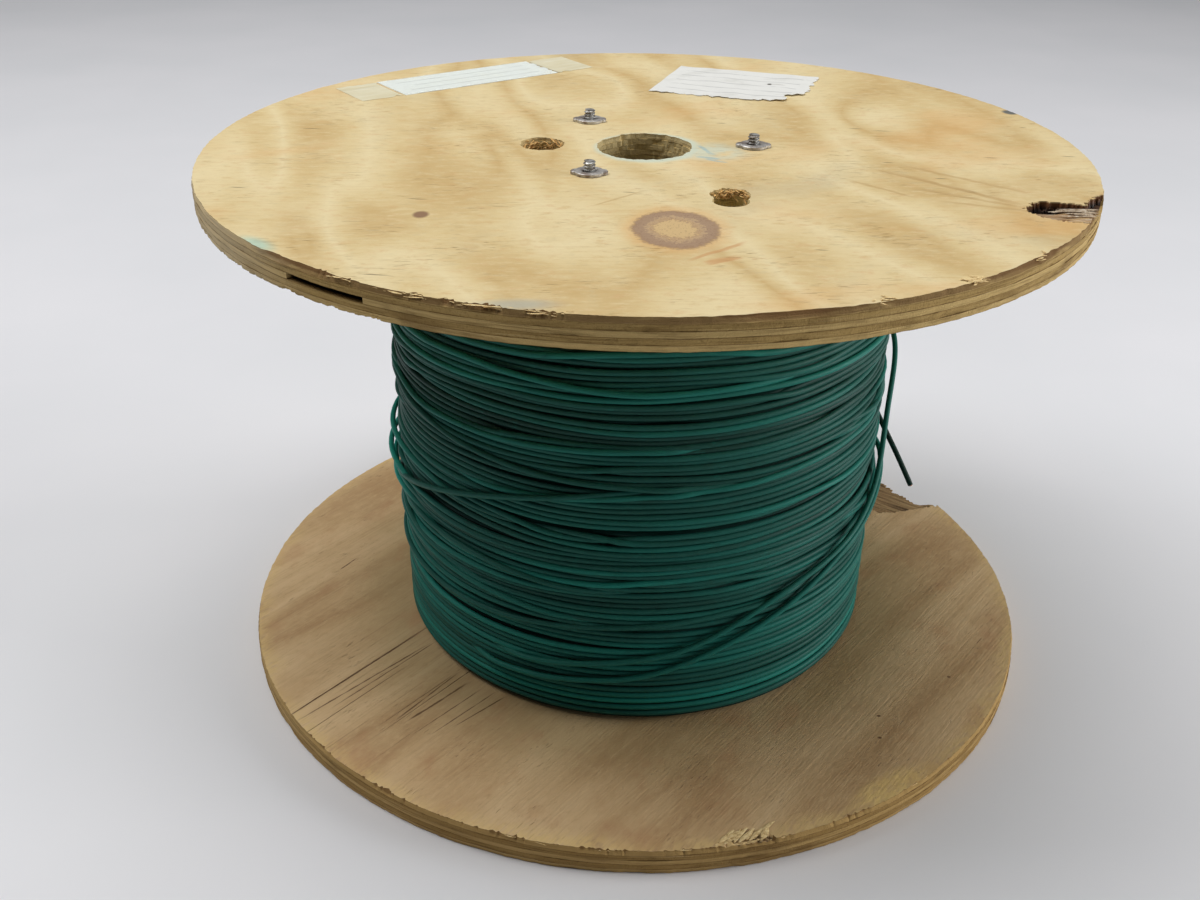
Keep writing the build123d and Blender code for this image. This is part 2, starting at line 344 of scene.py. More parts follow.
def plywood_disc(top, rim, worn, sunk, holes, broken):
    """Points, faces and finish numbers of a plywood disc: faces 0, edges 1.
    rim and each hole's radius depend on angle and ply, and sunk says how far the face is broken away."""
    def hole_worn(angles, number):
        return np.full(len(angles), hole_wear)

    edges = [edge_loops((0, 0), rim, rim_steps, top, 1, worn)]
    for middle, radius in holes:
        edges.append(edge_loops(middle, radius, hole_steps, top, -1, hole_worn))
    outer = edges[0][0][:, :2]
    rings = [(np.array(middle), loops[0][:, :2]) for (middle, _), loops in zip(holes, edges[1:])]
    fine = [scatter(outer, rings, spacing, corners) for corners, spacing in broken]
    coarse = scatter(outer, rings, face_step)
    for corners, spacing in broken:
        coarse = coarse[depth_inside(coarse, corners) < -fine_margin * spacing - face_step / 2]
    loose = np.vstack([coarse, *fine])
    points, faces, numbers = [], [], []
    tops = [loops[0][:, :2] for loops in edges]
    flat = np.vstack([*tops, loose])
    points.append(np.column_stack((flat, top - sunk(flat))))
    faces += fill(tops, loose)
    numbers += [0] * len(faces)
    below = len(flat)
    first = 0
    last_loops = []
    for loops in edges:
        count = len(loops[0])
        limit = top - sunk(loops[0][:, :2])
        above = np.arange(first, first + count)
        for depth, loop in enumerate(loops[1:], start=1):
            loop[:, 2] = np.minimum(loop[:, 2], limit - depth * stack_step)
            points.append(loop)
            here = np.arange(below, below + count)
            faces += np.column_stack((above, here, np.roll(here, -1), np.roll(above, -1))).tolist()
            numbers += [1] * count
            above = here
            below += count
        last_loops.append(above)
        first += count
    bottoms = [loops[-1][:, :2] for loops in edges]
    back_rings = [(middle, loop) for (middle, _), loop in zip(rings, bottoms[1:])]
    inner = scatter(bottoms[0], back_rings, 2 * face_step)
    points.append(np.column_stack((inner, np.full(len(inner), top - flange_thickness))))
    order = np.concatenate([*last_loops, np.arange(below, below + len(inner))])
    back = [[int(order[corner]) for corner in reversed(face)] for face in fill(bottoms, inner)]
    faces += back
    numbers += [0] * len(back)
    return np.vstack(points), faces, numbers


def hole_edge(radius, rough, seed):
    """Radius of a bored hole whose plies are torn a little differently."""
    def edge(angles, number):
        x, y = np.cos(angles) * radius, np.sin(angles) * radius
        torn = waves(x, y, 0.007, seed + number) + 0.7 * waves(x, y, 0.0022, seed + number + 10)
        return radius + rough * torn
    return edge


def ply_edge(name, top, face_tone, cross_tone, glue_tone, broken_wood_and_shade_tone, front_tone, painted_left_light_tone):
    """Sawn plywood edge: face plies streaked along their length, cross plies in end grain, and glue lines;
    painted light on the left side, and a set-back ply tone that is painted shade when near black.
    """
    finish = Finish(name, {"Specular IOR Level": 0.2})
    rim = (flange_radius, flange_radius)
    reach = finish.reach((0, 0), rim)
    level = finish.calc("DIVIDE", finish.depth_below(top), ply)
    crossing = finish.calc("PINGPONG", finish.calc("FLOOR", level), 1.0)
    streaks = finish.noise((0.030, 0.030, 0.0008), detail=5, roughness=0.65)
    pores = finish.noise((0.0007, 0.0007, 0.0009), detail=3, roughness=0.7)
    stains = finish.noise((0.030, 0.030, 0.006), detail=4, roughness=0.6)
    finish.colour(finish.mix(crossing, face_tone, cross_tone))
    finish.paint(glue_tone, finish.fade(streaks, 0.47, 0.70), 0.6)
    finish.paint(rgb(224, 198, 146), finish.fade(streaks, 0.45, 0.25), 0.5)
    finish.paint(glue_tone, finish.times(finish.fade(pores, 0.5, 0.8), crossing), 0.6)
    finish.paint(glue_tone, finish.fade(stains, 0.52, 0.75), 0.6)
    wander = finish.times(finish.calc("SUBTRACT", streaks, 0.5), 0.30)
    top_ply = finish.fade(finish.calc("ADD", level, finish.times(wander, 2.0)), 1.0, 0.8)
    at_front = finish.fade(finish.part(finish.stretch((*rim, 1.0), -75.0), "X"), 0.35, 0.60)
    finish.paint(front_tone, finish.times(top_ply, finish.fade(stains, 0.25, 0.5), at_front), 0.7)
    # Painted light: the left side of the rim is lightened towards a pale tone, where light falls from the
    # left.
    lit_left_side = finish.fade(finish.part(finish.stretch((*rim, 1.0), -162.0), "X"), 0.80, 0.97)
    finish.paint(painted_left_light_tone, lit_left_side, 0.35)
    glue_line = finish.calc("ADD", finish.calc("PINGPONG", level, 0.5), wander)
    finish.paint(glue_tone, finish.fade(glue_line, 0.10, 0.0), 0.72)
    flaked = finish.times(finish.fade(reach, 0.9960, 0.9930), finish.fade(level, 1.05, 0.85))
    finish.paint(rgb(116, 82, 48), flaked, 0.7)
    # Plies set back from the rim, below the face ply: broken wood colour on the lower flange, and near-black
    # painted shade in the upper flange's core gap.
    inside = finish.times(finish.fade(reach, 0.992, 0.984), finish.fade(reach, 0.92, 0.93))
    finish.paint(broken_wood_and_shade_tone, finish.times(inside, finish.fade(level, 1.0, 1.1)))
    clean = finish.times(finish.fade(reach, 0.6, 0.5), finish.fade(streaks, 0.75, 0.5))
    finish.paint(rgb(246, 224, 166), clean, 0.8)
    finish.dull(pores, 0.75, 0.95)
    finish.relief(streaks, 0.0004)
    finish.relief(pores, 0.0003)
    return finish


def veneer(name, grain, figure, band_size, pale, middle, dark, fibre):
    """Rotary-cut softwood face ply: broad soft growth bands, a mottle of fine fibres along the grain,
    and short dark pores."""
    finish = Finish(name, {"Specular IOR Level": 0.25})
    growth = finish.noise(band_size, figure, detail=1.6, roughness=0.45, distortion=0.4)
    bands = finish.calc("PINGPONG", finish.times(growth, 9.0), 1.0)
    finish.colour(finish.ramp(bands, (0.0, pale), (0.5, middle), (1.0, dark)))
    mottle = finish.noise((0.0060, 0.0028, 1.0), grain, detail=6, roughness=0.66)
    finish.paint(pale, finish.fade(mottle, 0.46, 0.72), 0.45)
    finish.paint(dark, finish.fade(mottle, 0.48, 0.28), 0.50)
    fibres = finish.noise((0.045, 0.0010, 1.0), grain, detail=5, roughness=0.62)
    finish.paint(fibre, finish.fade(fibres, 0.48, 0.8), 0.28)
    finish.paint(pale, finish.patches(0.45, 0.72, (0.05, 0.03, 1.0), grain, detail=4, roughness=0.6), 0.4)
    pores = finish.patches(0.66, 0.74, (0.006, 0.0005, 1.0), grain, detail=1)
    pores = finish.times(pores, finish.patches(0.45, 0.65, (0.030, 0.018, 1.0), grain, detail=2))
    finish.paint(fibre, pores, 0.6)
    finish.dull(fibres, 0.5, 0.75)
    finish.relief(fibres, 0.0002)
    finish.relief(mottle, 0.0003)
    finish.relief(pores, -0.0003)
    return finish


def splinters(name, strips, finish, seed):
    """Torn slivers of wood, each from a start to an end, as wide as given and tapering to both ends."""
    draw = np.random.default_rng(seed)
    share = np.linspace(0, 1, 7)
    taper = np.sin(pi * (0.05 + 0.9 * share)) ** 0.7
    points, faces = [], []
    for start, end, width in strips:
        run = np.array(end) - np.array(start)
        side = np.cross((0, 0, 1), run)
        side /= np.linalg.norm(side)
        over = np.cross(run / np.linalg.norm(run), side)
        bow = draw.normal(0, 0.3) * width * np.sin(pi * share)
        middle = np.array(start) + share[:, None] * run + bow[:, None] * side
        wide, thick = (width / 2 * taper)[:, None] * side, (width / 5 * taper)[:, None] * over
        base = 28 * len(points)
        corners = np.stack((middle + wide, middle + thick, middle - wide, middle - thick), axis=1)
        points.append(corners.reshape(-1, 3))
        rows = base + 4 * np.arange(6)
        for corner in range(4):
            here, after = rows + corner, rows + (corner + 1) % 4
            faces += np.column_stack((here, after, after + 4, here + 4)).tolist()
        faces += [[base + 3, base + 2, base + 1, base], [base + 24, base + 25, base + 26, base + 27]]
    return add_piece(name, np.vstack(points), faces, (finish,), (), crease=70)


def sliver(turn, reach, height, heading, slope, half_length, width, about=(0, 0)):
    """Start, end and width of one sliver, at a turn and reach about a middle, lying along a heading."""
    middle = np.array((about[0] + reach * cos(turn), about[1] + reach * sin(turn), height))
    half_run = np.array((cos(heading), sin(heading), slope)) * half_length
    return middle - half_run, middle + half_run, width


def frayed_rim(draw, top, turns, insets, drops, lean, slope, half_lengths, widths):
    """Slivers that lie about along the rim, one at each turn."""
    return [sliver(
        turn, flange_radius - draw.uniform(*insets), top - draw.uniform(*drops),
        turn + pi / 2 + radians(draw.uniform(-lean, lean)), draw.uniform(-slope, slope),
        draw.uniform(*half_lengths), draw.uniform(*widths)) for turn in turns]


def torn_wood_finish(name, pale, middle, dark):
    """Freshly torn softwood: stringy, pale where it broke and dark in the slits."""
    finish = Finish(name, {"Specular IOR Level": 0.2})
    strings = finish.noise((0.0016, 0.0009, 0.0007), 30, detail=4, roughness=0.65)
    finish.colour(finish.ramp(strings, (0.3, dark), (0.5, middle), (0.72, pale)))
    finish.dull(strings, 0.7, 0.9)
    finish.relief(strings, 0.0003)
    return finish


lower_grain = 54.0
lower_pale = rgb(216, 186, 143)
lower_middle = rgb(202, 170, 127)
lower_dark = rgb(184, 150, 108)
lower_fibre = rgb(134, 103, 68)
lower_worn = rgb(222, 192, 132)
lower_crack = rgb(90, 60, 36)
lower_red = rgb(176, 126, 88)
lower_shade_olive = rgb(150, 134, 92)
lower_cracks = (
    ((-0.1460, -0.1150), (-0.0930, -0.0455), 0.0006),
    ((-0.1400, -0.1150), (-0.0880, -0.0545), 0.0005),
    ((-0.1270, -0.1060), (-0.0850, -0.0520), 0.0004),
    ((-0.0980, -0.1115), (-0.0740, -0.0760), 0.0005),
    ((-0.0945, -0.1130), (-0.0680, -0.0820), 0.0007),
    ((-0.0900, -0.1200), (-0.0620, -0.0860), 0.0004),
    ((-0.0820, -0.1190), (-0.0560, -0.0880), 0.0004),
    ((-0.0735, -0.1138), (-0.0515, -0.0910), 0.0004),
    ((-0.1436, -0.0020), (-0.1368, 0.0096), 0.0005),
)
lower_checked_zone = ((-0.1050, -0.0900), (0.070, 0.045))
lower_specks = ((0.1037, -0.0977), (0.1021, -0.1112), (0.1381, -0.0705))
torn_ply = corners_at(
    (1.04, 0.927, 0.888, 0.852, 0.809, 0.8, 0.83, 0.9, 1.04),
    (25.0, 25.2, 25.5, 26.0, 27.1, 31.0, 36.0, 41.0, 44.0),
)
rim_chip = corners_at((1.03, 0.965, 0.955, 0.975, 1.03), (-79.5, -77.0, -74.5, -72.5, -71.0))
break_angles = np.radians((25.4, 26.4, 27.1, 29.4, 33.0, 37.0, 40.5, 43.0))
break_shares = (1.04, 0.99, 0.958, 0.945, 0.939, 0.944, 0.965, 1.04)


def sawn_rim(angles, number, wave_size, seed):
    """Reach of one ply of a rim, sawn a little out of round."""
    arc = angles * flange_radius
    reach = flange_radius - 0.0003 + 0.00012 * waves(arc, 0, wave_size, seed + number)
    return reach + 0.00005 * waves(arc, 0, 0.004, seed + 10 + number)


def lower_rim(angles, number):
    """Sawn round, with the plies broken off unevenly at the back right."""
    broken = flange_radius * np.interp(angles, break_angles, break_shares)
    broken = broken + 0.0009 * waves(angles * flange_radius, 0, 0.004, 60 + number) + 0.0002 * number
    return np.minimum(sawn_rim(angles, number, 0.024, 40), broken)


def flaked_edge(arc, coarse, fine, fine_share, spared, seed):
    """How much has flaked off along an edge, in coarse and fine flakes, 0 where it is spared."""
    flakes = waves(arc, 0, coarse, seed) + fine_share * waves(arc, 0, fine, seed + 1)
    return np.maximum(flakes - spared, 0)


def facing(angles, middle, start, span):
    """1 on the side of a rim around an angle, 0 on the other side."""
    return ease((np.cos(angles - radians(middle)) - start) / span)


def lower_worn_edge(angles, number):
    """Rubbed round everywhere, and flaked along the upper edge, most at the front."""
    arc = angles * flange_radius
    flakes = flaked_edge(arc, 0.010, 0.0020, 0.8, 0.6, 71)
    lost = 0.0006 * flakes * (0.25 + facing(angles, -85, 0.3, 0.6)) * (number == 0)
    return 0.0005 + 0.0001 * waves(arc, 0, 0.005, 70) + lost


def torn_wander(places, coarse, fine, seed):
    """How far a torn outline wanders in and out, in coarse and fine waves."""
    return coarse * waves(*places.T, 0.0035, seed) + fine * waves(*places.T, 0.0012, seed + 1)


def lower_sunk(places):
    """One ply down where the face is torn off beside the break, and a shallow chip at the front."""
    ragged = torn_wander(places, 0.0007, 0.0005, 80)
    along, across = turned(places, -lower_grain - 90).T
    fibres = 0.00022 * waves(along / 8, across, 0.0022, 82)
    torn = ease((depth_inside(places, torn_ply) + ragged) / 0.0005) * (ply + fibres)
    chipped = ease((depth_inside(places, rim_chip) + ragged) / 0.0012) * (0.3 * ply + 2.5 * fibres)
    return np.maximum(torn, chipped)


bolt_circle_radius = 0.04445
bolt_places = [polar(bolt_circle_radius, 2.4 + 120 * step) for step in range(3)]
bolt_hole_radius = 0.0026
counterbore_radius = 0.0072


def bolt_hole_edge(angles, number):
    """Drilled for the bolt, and counterbored for its head in the lowest ply."""
    radius = counterbore_radius if number == ply_count - 1 else bolt_hole_radius
    return hole_edge(radius, 0.00005, 95)(angles, number)


lower_holes = [((0.0, 0.0), hole_edge(arbor_radius, 0.00035, 90))]
lower_holes += [(place, bolt_hole_edge) for place in bolt_places]

wood = veneer(
    "weathered_face_ply", lower_grain, lower_grain, (0.3, 0.05, 1.0),
    lower_pale, lower_middle, lower_dark, lower_fibre)
handled = wood.noise((0.06, 0.05, 1.0), detail=5, roughness=0.6)
wood.paint(lower_dark, wood.fade(handled, 0.5, 0.75), 0.4)
# Painted shade: the face is darkened to olive towards the foot of the winding, under the upper flange.
shade_near_wire = wood.calc(
    "ADD", wood.reach((0, 0), (0.130, 0.130)), wood.times(wood.calc("SUBTRACT", handled, 0.5), 0.5))
wood.paint(lower_shade_olive, wood.fade(shade_near_wire, 1.15, 0.85), 0.4)
rough_worn = wood.patches(0.32, 0.55, (0.005, 0.002, 1.0), lower_grain, detail=4)
rim_reach = wood.calc(
    "ADD", wood.reach((0, 0), (flange_radius, flange_radius)),
    wood.times(wood.noise((0.045, 0.03, 1.0), detail=3), 0.12))
wood.paint(lower_worn, wood.times(wood.fade(rim_reach, 1.01, 1.07), rough_worn), 0.75)
scuff = wood.spot((0.1030, -0.1400), (0.026, 0.010), 36, core=0.35)
wood.paint(rgb(228, 196, 130), wood.times(scuff, wood.calc("MAXIMUM", rough_worn, 0.55)))
wood.paint(lower_red, wood.patches(0.52, 0.7, (0.035, 0.025, 1.0), 80, detail=5, roughness=0.6), 0.35)
lines = wood.noise((0.08, 0.0008, 1.0), lower_grain, detail=3, roughness=0.6)
wood.paint(lower_fibre, wood.fade(lines, 0.52, 0.70), 0.16)
checks = wood.times(
    wood.patches(0.645, 0.70, (0.20, 0.0015, 1.0), lower_grain - 1, detail=2),
    wood.spot(*lower_checked_zone, lower_grain))
wood.paint(lower_crack, checks, 0.55)
wood.paint_streaks(lower_crack, lower_cracks, 2.0, 0.85)
for speck in lower_specks:
    wood.paint(lower_crack, wood.spot(speck, (0.0011, 0.0008)), 0.8)
wood.relief(lines, 0.0001)
wood.relief(checks, -0.0004)
second_ply = wood.ramp(
    wood.noise((0.0016, 0.06, 1.0), lower_grain, detail=4),
    (0.3, rgb(88, 66, 44)), (0.5, rgb(146, 118, 82)), (0.7, rgb(184, 156, 112)))
below_face = wood.depth_below(lower_top)
wood.paint(second_ply, wood.times(
    wood.fade(below_face, 0.0004, 0.0012), wood.fade(below_face, 0.0110, 0.0100)))

edge = ply_edge(
    "weathered_ply_edge", lower_top, rgb(194, 160, 101), rgb(170, 136, 80), rgb(106, 78, 42),
    # The last tone is painted light for the left side of the rim.
    rgb(150, 116, 74), rgb(182, 148, 92), rgb(194, 164, 110))
points, faces, numbers = plywood_disc(
    lower_top, lower_rim, lower_worn_edge, lower_sunk, lower_holes, ((torn_ply, 0.0009), (rim_chip, 0.0006)))
add_piece(
    "lower_flange_plywood", points, faces, (wood, edge), ("lower_flange",), numbers)

straw_wood = torn_wood_finish("torn_straw_wood", rgb(250, 230, 180), rgb(234, 206, 150), rgb(172, 134, 86))
chip_middle, chip_half = radians(-75.3), radians(3.0)
chip_slope = 0.05
draw = np.random.default_rng(30)
chip_strips = [
    sliver(chip_middle + share * chip_half, flange_radius - inset, lower_top + lift,
           radians(lower_grain + lean), chip_slope, length / 2, 0.0014 + 0.06 * length)
    for share, (inset, length, lean, lift) in zip(np.linspace(-1, 1, 11), draw.uniform(
        (0.0036, 0.006, -9, -0.0002), (0.0056, 0.010, 9, 0.0005), (11, 4)))]
chip_strips += frayed_rim(
    draw, lower_top, draw.uniform(radians(-112), radians(-48), 46), insets=(0.0009, 0.0018),
    drops=(0.0003, 0.0011), lean=8, slope=0.1, half_lengths=(0.002, 0.005), widths=(0.0004, 0.0008))
splinters("lower_rim_splinters", chip_strips, straw_wood, 31)


# Barrel: a tube of grey-brown fibreboard let into a groove in each flange, which the wire is wound on.
# Almost all of it is out of sight inside the winding.

fibreboard = Finish("pressed_fibreboard", {"Specular IOR Level": 0.2})
fibres = fibreboard.noise((0.002, 0.002, 0.004), detail=5, roughness=0.7)
fibreboard.colour(fibreboard.ramp(
    fibres, (0.3, rgb(96, 76, 54)), (0.6, rgb(134, 110, 80)), (0.8, rgb(160, 136, 102))))
fibreboard.paint(rgb(92, 72, 50), fibreboard.noise((0.03, 0.03, 0.02), detail=3), 0.4)
fibreboard.dull(fibres, 0.7, 0.95)
fibreboard.relief(fibres, 0.0005)
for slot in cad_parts["barrel"].material_slots:
    slot.material = fibreboard.material


# Tie bolts: three long zinc-plated machine screws that clamp the flanges onto the barrel.
# Their slotted heads lie in counterbores under the lower flange, and their threads end above the tee nuts.

bolt_radius = 0.0024
thread_pitch = 0.0012
thread_depth = 0.0006
thread_start = upper_low.z - 0.004
thread_runout = 0.003
thread_steps = 8
tip_taper = 0.0004
bolt_head_radius = 0.0064
bolt_head_rise = 0.0024
bolt_slot_half = (0.0052, 0.0007)
bolt_slot_depth = 0.0011
bolt_sides = 40


def zinc(name, clean, dull_tone, stain):
    """Bright zinc plate gone grey, with brown stain where it has worn through."""
    finish = Finish(name, {"Metallic": 0.65})
    cloud = finish.noise((0.003, 0.003, 0.003), detail=4, roughness=0.65)
    finish.colour(finish.mix(finish.fade(cloud, 0.35, 0.7), clean, dull_tone))
    finish.paint(stain, finish.patches(0.46, 0.66, (0.0045, 0.0045, 0.002), detail=3, roughness=0.6), 0.75)
    finish.dull(cloud, 0.36, 0.62)
    finish.relief(finish.noise((0.0004, 0.004, 0.004), 25, detail=3), 0.00006)
    return finish


bolt_zinc = zinc("zinc_bolt", rgb(206, 206, 204), rgb(150, 150, 148), rgb(96, 78, 60))


def ring_of(radius, height, middle, sides):
    """A level ring of points, whose radius may be one for each point."""
    angles = np.arange(sides) * tau / sides
    return np.column_stack((
        middle[0] + radius * np.cos(angles), middle[1] + radius * np.sin(angles), height + 0 * angles))


def join_rings(count, sides, closed=False):
    """Quads between rings of points that follow each other, the last joined to the first if closed."""
    grid = np.arange(count * sides).reshape(count, sides)
    under = grid if closed else grid[:-1]
    over = np.roll(grid, -1, axis=0) if closed else grid[1:]
    around = np.roll(under, -1, axis=1), np.roll(over, -1, axis=1)
    return np.stack((under, around[0], around[1], over), axis=-1).reshape(-1, 4).tolist()


for number, place in enumerate(bolt_places, start=1):
    bolt_low, bolt_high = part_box(f"tie_bolt_{number}")
    head_low, tip = bolt_low.z, bolt_high.z
    head_top = head_low + bolt_head_rise
    outline = (
        (bolt_head_radius - 0.0010, head_low), (bolt_head_radius - 0.0003, head_low + 0.0006),
        (bolt_head_radius, head_low + 0.0013), (bolt_head_radius, head_top),
        (bolt_radius, head_top), (bolt_radius, thread_start))
    rings = [ring_of(radius, height, place, bolt_sides) for radius, height in outline]
    around = np.arange(bolt_sides) / bolt_sides
    for height in np.arange(thread_start + thread_pitch / thread_steps, tip, thread_pitch / thread_steps):
        flank = np.abs(((height - thread_start) / thread_pitch - around) % 1 - 0.5) * 2
        runout = min(1, (height - thread_start) / thread_runout)
        cut = thread_depth * np.clip(1.5 * flank - 0.25, 0, 1) * runout
        taper = max(0, tip_taper - (tip - height)) * 0.9
        rings.append(ring_of(bolt_radius - cut - taper, height, place, bolt_sides))
    rings.append(ring_of(bolt_radius - 0.0006, tip, place, bolt_sides))
    faces = join_rings(len(rings), bolt_sides)
    points = np.vstack(rings)
    faces.append(list(range(len(points) - bolt_sides, len(points))))
    half_length, half_width = bolt_slot_half
    slot = np.array([(-half_length, -half_width), (half_length, -half_width),
                     (half_length, half_width), (-half_length, half_width)]) + place
    seat = np.column_stack((slot, np.full(4, head_low)))
    floor = seat + (0, 0, bolt_slot_depth)
    base = len(points)
    points = np.vstack((points, seat, floor))
    rim_then_slot = list(range(bolt_sides)) + list(range(base, base + 4))
    under_head = fill((rings[0][:, :2], slot), np.empty((0, 2)))
    faces += [[rim_then_slot[corner] for corner in reversed(face)] for face in under_head]
    faces += [[base + i, base + 4 + i, base + 4 + (i + 1) % 4, base + (i + 1) % 4] for i in range(4)]
    faces.append([base + 7, base + 6, base + 5, base + 4])
    add_piece(
        f"tie_bolt_{number}_threaded", points, faces, (bolt_zinc,), (f"tie_bolt_{number}",))


# Winding: over seventy turns of thin green insulated wire show on the outside, wound by hand guide,
# close and even at the foot and slacker higher up, where they lie in bands with dark dips between,
# over the layers below, which show in the gaps.

wire_radius = 0.0012
winding_low, winding_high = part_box("wire_winding")
winding_height = winding_high.z - winding_low.z
end_room = 0.0001
foot_radius, belly_radius, head_radius = 0.106, 0.1066, 0.1046
belly_share = 0.38
turn_count = 79
turn_steps = 120
foot_spread = 0.92
wire_sides = 8
settle_rounds = 60
push_share, pull_back, evening = 0.25, 0.06, 0.4
winding_bore = 0.0603
under_layer = 0.0019
even_foot = 0.025
band_spacing = 0.0166
band_dip = 0.0015
band_rise = 0.04
green_deep = rgb(30, 54, 47)
green_plain = rgb(31, 91, 81)
green_bright = rgb(34, 146, 131)
green_dirt = rgb(30, 46, 36)


def insulation(name, shade):
    """Extruded green insulation: satin, handled and a little dusty, no two turns of quite one tone; the tone
    also carries painted shade, and a shade share paints the whole finish darker.
    """
    finish = Finish(name, {"Specular IOR Level": 0.14})
    tone = finish.add("Attribute", attribute_name="tone").outputs["Fac"]
    smear = finish.noise((0.012, 0.012, 0.004), detail=4, roughness=0.6)
    scuffs = finish.noise((0.004, 0.004, 0.0007), detail=2)
    finish.colour(finish.ramp(tone, (0.0, green_deep), (0.5, green_plain), (1.0, green_bright)))
    finish.paint(green_dirt, finish.fade(smear, 0.5, 0.78), 0.30)
    finish.paint(green_bright, finish.fade(scuffs, 0.62, 0.8), 0.25)
    # Painted shade: where a share is given, the whole finish is darkened that far towards near-black green.
    if shade:
        finish.paint(rgb(3, 16, 13), shade)
    finish.dull(smear, 0.38, 0.60)
    finish.relief(scuffs, 0.00008)
    return finish


def winding_radius(height):
    """Outside of the winding at a height: a gentle arc through its foot, belly and head."""
    fit = np.polyfit((0, belly_share, 1), (foot_radius, belly_radius, head_radius), 2)
    return np.polyval(fit, (height - winding_low.z) / winding_height)


def band_depth(around, height):
    """How far the turns lie in, between one band of turns and the next: the bands wander up and down."""
    level = height / band_spacing + 0.8 * np.sin(around + 0.6) + 0.45 * np.sin(2 * around + 2.1)
    x, y = 0.1 * np.cos(around), 0.1 * np.sin(around)
    level = level + 0.5 * waves(x, y + height, 0.11, 13)
    strength = np.clip(0.65 + 0.5 * waves(x, y + 2 * height, 0.08, 14), 0.1, 1)
    strength = strength * (0.3 + 0.7 * ease((height - even_foot) / band_rise))
    return band_dip * strength * (0.5 + 0.5 * np.cos(tau * level))


def wire_tube(path, radius, sides):
    """Points and faces of a round wire along a path, with flat ends."""
    ahead = np.gradient(path, axis=0)
    ahead /= np.linalg.norm(ahead, axis=1)[:, None]
    out = path * (1, 1, 0)
    out /= np.linalg.norm(out, axis=1)[:, None]
    over = np.cross(ahead, out)
    over /= np.linalg.norm(over, axis=1)[:, None]
    out = np.cross(over, ahead)
    spin = np.arange(sides) * tau / sides
    rings = path[:, None] + radius * (
        np.cos(spin)[None, :, None] * out[:, None] + np.sin(spin)[None, :, None] * over[:, None])
    faces = join_rings(len(path), sides)
    faces.append(list(range(sides))[::-1])
    faces.append(list(range((len(path) - 1) * sides, len(path) * sides)))
    return rings.reshape(-1, 3), faces


def round_drum(turns, radius, heights):
    """Places at turns, radii and heights about the drum's axis."""
    return np.column_stack((np.cos(turns) * radius, np.sin(turns) * radius, heights))


def smoothed(values, width):
    """Running mean over a number of steps each way, ends held."""
    window = np.hanning(2 * width + 3)[1:-1]
    padded = np.pad(values, width, mode="edge")
    return np.convolve(padded, window / window.sum(), mode="valid")


def tint(piece, tones):
    """Gives each point of a wire its tone."""
    attribute = piece.data.attributes.new("tone", "FLOAT", "POINT")
    attribute.data.foreach_set("value", np.clip(tones, 0, 1).astype(np.float32))


slack_rise = 0.05
foot_slack, added_slack = 0.0006, 0.0030
sway_size, sway_share = 0.06, 0.6
slip_steps, slip_share = 24, 0.5
proud_steps, proud_height = 18, 0.0004
proud_start, proud_rise, least_proud = 0.02, 0.03, 0.4
wander_gain = 4.5
deepest_sink, highest_ride = 0.0006, 0.0022
draw = np.random.default_rng(11)
progress = np.arange(turn_count * turn_steps + 1) / turn_steps
around = progress * tau
lowest = winding_low.z + wire_radius + end_room
highest = winding_high.z - wire_radius - end_room
heights = lowest + (highest - lowest) * (progress / turn_count) ** foot_spread
slack = foot_slack + added_slack * ease((heights - even_foot) / slack_rise)
sway = waves(np.cos(around) * 0.1, heights + 0.05 * np.sin(around), sway_size, 12)
slip = smoothed(draw.normal(0, 1, len(progress)), slip_steps) * wander_gain
heights = np.clip(heights + slack * (sway_share * sway + slip_share * slip), lowest, highest)
looser = least_proud + (1 - least_proud) * ease((heights - proud_start) / proud_rise)
proud = proud_height * smoothed(draw.normal(0, 1, len(progress)), proud_steps) * wander_gain * looser
seat = winding_radius(heights) - wire_radius - band_depth(around, heights) + proud
reach = seat.copy()
# Turns that lie in each other push apart, and the pull of the wire draws them back to where they were wound.
for _ in range(settle_rounds):
    for gap in (turn_steps, 2 * turn_steps):
        apart_out = reach[gap:] - reach[:-gap]
        apart_up = heights[gap:] - heights[:-gap]
        apart = np.maximum(np.hypot(apart_out, apart_up), 1e-6)
        push = push_share * np.maximum(2 * wire_radius - apart, 0) / apart
        reach[gap:] += push * apart_out
        reach[:-gap] -= push * apart_out
        heights[gap:] += push * apart_up
        heights[:-gap] -= push * apart_up
    reach = np.clip(reach - pull_back * (reach - seat), seat - deepest_sink, seat + highest_ride)
    heights = np.clip(heights, lowest, highest)
    reach = (1 - evening) * reach + evening * smoothed(reach, 2)
    heights = (1 - evening) * heights + evening * smoothed(heights, 2)

slack_angle, slack_half = radians(184), radians(22)
slack_turns = ((22, 0.0030), (25, 0.0056), (27, 0.0044), (29, 0.0060), (32, 0.0034))
for turn, rise in slack_turns:
    middle = turn + slack_angle / tau
    reach += rise * np.exp(-(((progress - middle) * tau / slack_half) ** 2))
tuck_depth, tuck_turns = 0.004, 0.15
tuck = tuck_depth * (1 - ease(progress / tuck_turns))
tuck = tuck + tuck_depth * (1 - ease((turn_count - progress) / tuck_turns))
path = round_drum(around, reach - tuck, heights)
middle_tone, tone_spread = 0.53, 0.09
tone_steps, tone_gain, tone_wander = 30, 5, 0.06
light_and_shade_per_metre_out = 130
foot_lighter, head_painted_shade = 0.08, 0.19
shade_start, shade_rise = 0.04, 0.14
turn_tones_and_shade = np.interp(
    progress, np.arange(turn_count + 1), draw.normal(middle_tone, tone_spread, turn_count + 1))
turn_tones_and_shade = turn_tones_and_shade + tone_wander * smoothed(draw.normal(0, 1, len(progress)), tone_steps) * tone_gain
# Painted light and shade: turns that stand proud are lighter and sunk turns darker, by how far out each lies.
turn_tones_and_shade = turn_tones_and_shade + light_and_shade_per_metre_out * (reach + wire_radius - winding_radius(heights))
